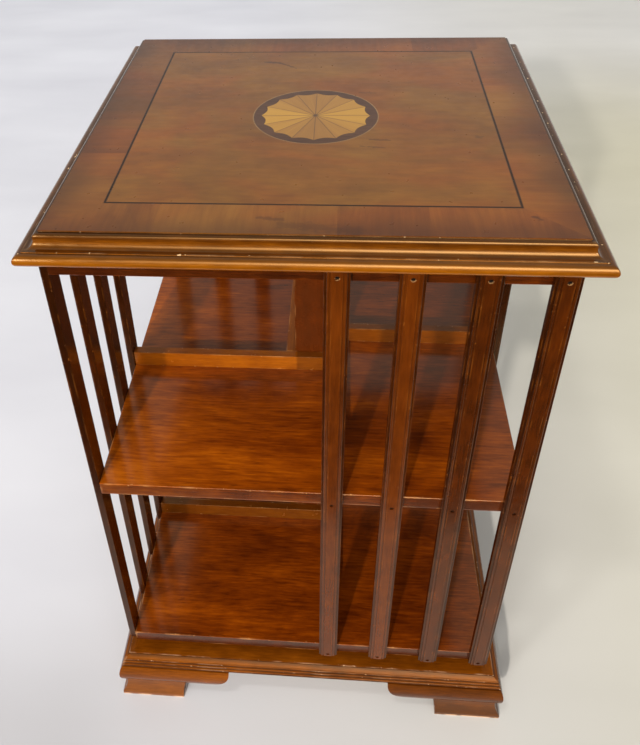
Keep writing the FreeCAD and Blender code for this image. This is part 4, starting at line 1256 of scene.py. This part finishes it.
def make_backdrop():
    """A pale dome far behind everything, which only the camera sees."""
    radius, rings, steps = 10.0, 10, 48
    points = []
    for ring in range(rings):
        height = math.pi / 2 * ring / rings
        for step in range(steps):
            turn = 2 * math.pi * step / steps
            points.append((radius * math.cos(height) * math.cos(turn),
                           radius * math.cos(height) * math.sin(turn), radius * math.sin(height)))
    faces = strip_faces(rings, steps, close_rows=False)
    faces.append(tuple(range((rings - 1) * steps, rings * steps)))
    backdrop = new_object("backdrop", points, faces)
    material, tree = new_material("backdrop_paper")
    surface(tree, {"Base Color": paint(222, 221, 219), "Roughness": 1.0, "Specular IOR Level": 0.0})
    backdrop.data.materials.append(material)
    smooth(backdrop)
    hide_from(backdrop, "diffuse", "glossy", "shadow")


def make_flag():
    """A dark card in front of the bookcase: only the lacquer mirrors it, in place of the pale floor."""
    flag = new_object("flag", [(-2, -4, 0.02), (2, -4, 0.02), (2, -0.5, 0.02), (-2, -0.5, 0.02)],
                      [(0, 1, 2, 3)])
    material, tree = new_material("flag_card")
    surface(tree, {"Base Color": paint(70, 52, 40), "Roughness": 1.0})
    flag.data.materials.append(material)
    hide_from(flag, "camera", "diffuse", "shadow")


def make_softbox():
    """A bright curved sheet before the bookcase: only the lacquer mirrors it, as a wide highlight."""
    radius, rows = 6.0, 13
    brightest = 12.0
    columns = ((-2.5, 0.0), (-1.0, 0.4), (0.6, 1.0), (3.2, 1.0), (4.2, 0.0))     # place, share of the glow
    points, glow = [], []
    for row in range(rows):
        height = math.radians(6 * row + 3)
        for x, share in columns:
            points.append((x, -radius * math.cos(height), 0.7 + radius * math.sin(height)))
            glow.append(brightest * share * (1 - abs(2 * row / (rows - 1) - 1)) ** 1.7)
    count = len(columns)
    faces = [(row * count + column, row * count + column + 1, (row + 1) * count + column + 1,
              (row + 1) * count + column) for row in range(rows - 1) for column in range(count - 1)]
    softbox = new_object("softbox", points, faces)
    write_floats(softbox.data, "glow", "POINT", glow)
    material, tree = new_material("softbox_cloth")
    surface(tree, {"Base Color": paint(0, 0, 0), "Specular IOR Level": 0.0,
                   "Emission Color": (1.0, 0.97, 0.92, 1.0),
                   "Emission Strength": attribute(tree, "glow") + 0.2})
    material.cycles.emission_sampling = "NONE"
    softbox.data.materials.append(material)
    hide_from(softbox, "camera", "diffuse", "shadow")


def make_room():
    """Light from the room: windows and a door in front, a pale ceiling and rear wall, dim elsewhere."""
    world = bpy.data.worlds.new("room")
    bpy.context.scene.world = world
    world.use_nodes = True
    tree = world.node_tree
    aside, forward, upward = parts(tree, add(tree, "ShaderNodeTexCoord", {}, output="Generated"))
    ceiling = upward.ramp(0.35, 0.80, 0.0, 0.42)
    behind = forward.ramp(-0.2, 0.7) * upward.ramp(0.60, 0.25, 0.12, 0.42)
    low_down = upward.ramp(0.06, 0.16, 0.22, 0.0)
    windows = forward.ramp(-0.45, -0.70) * (upward - 0.35).math("ABSOLUTE").ramp(0.05, 0.20, 6.0, 0.0)
    windows = windows * aside.ramp(-0.15, 0.08, 0.5, 1.0) * aside.ramp(0.50, 0.65, 1.0, 0.0)
    door = (aside + 0.36).math("ABSOLUTE").ramp(0.05, 0.12, 12.0, 0.0) * forward.ramp(-0.3, -0.5)
    door = door * upward.ramp(0.10, 0.20) * upward.ramp(0.70, 0.50)
    shader = tree.nodes["Background"]
    shader.inputs["Color"].default_value = (0.98, 0.99, 1.0, 1)
    feed(tree, shader.inputs["Strength"], ceiling + behind + low_down + windows + door + 0.14)


def lamp(name, place, power, width, colour):
    """A round lamp of this width, which the lacquer doesn't mirror."""
    light = bpy.data.lights.new(name, "POINT")
    light.shadow_soft_size = width / 2
    light.energy = power
    light.color = colour
    holder = link(name, light)
    holder.location = place
    hide_from(holder, "glossy")


def make_lights():
    lamp("low_lamp", (-0.95, -3.67, 2.246), 560, 0.14, (1.0, 0.96, 0.90))
    lamp("high_lamp", (-0.59, -1.03, 3.0), 48, 0.2, (1.0, 1.0, 1.0))


def make_camera():
    lens = bpy.data.cameras.new("camera")
    lens.lens = 38.91              # millimetres, on a sensor 36 wide
    lens.sensor_width = 36.0
    lens.shift_x = 0.0779
    lens.shift_y = -0.1025
    holder = link("camera", lens)
    holder.location = (0.0229, -0.7574, 1.0652)
    holder.rotation_euler = [math.radians(turn) for turn in (52.685, 2.085, 4.861)]
    bpy.context.scene.camera = holder


# ---------------------------------------------------------------- put it together
pinwheel = pinwheel_tree()
make_boards()
make_column()
make_rails(pinwheel)
make_slats(pinwheel)
table_flat = make_table_moulding()
make_inlay(pinwheel, table_flat)
make_plinth()
make_feet()
finish_kept_solids()
make_floor()
make_backdrop()
make_flag()
make_softbox()
make_room()
make_lights()
make_camera()
bpy.context.scene.view_settings.view_transform = "Standard"
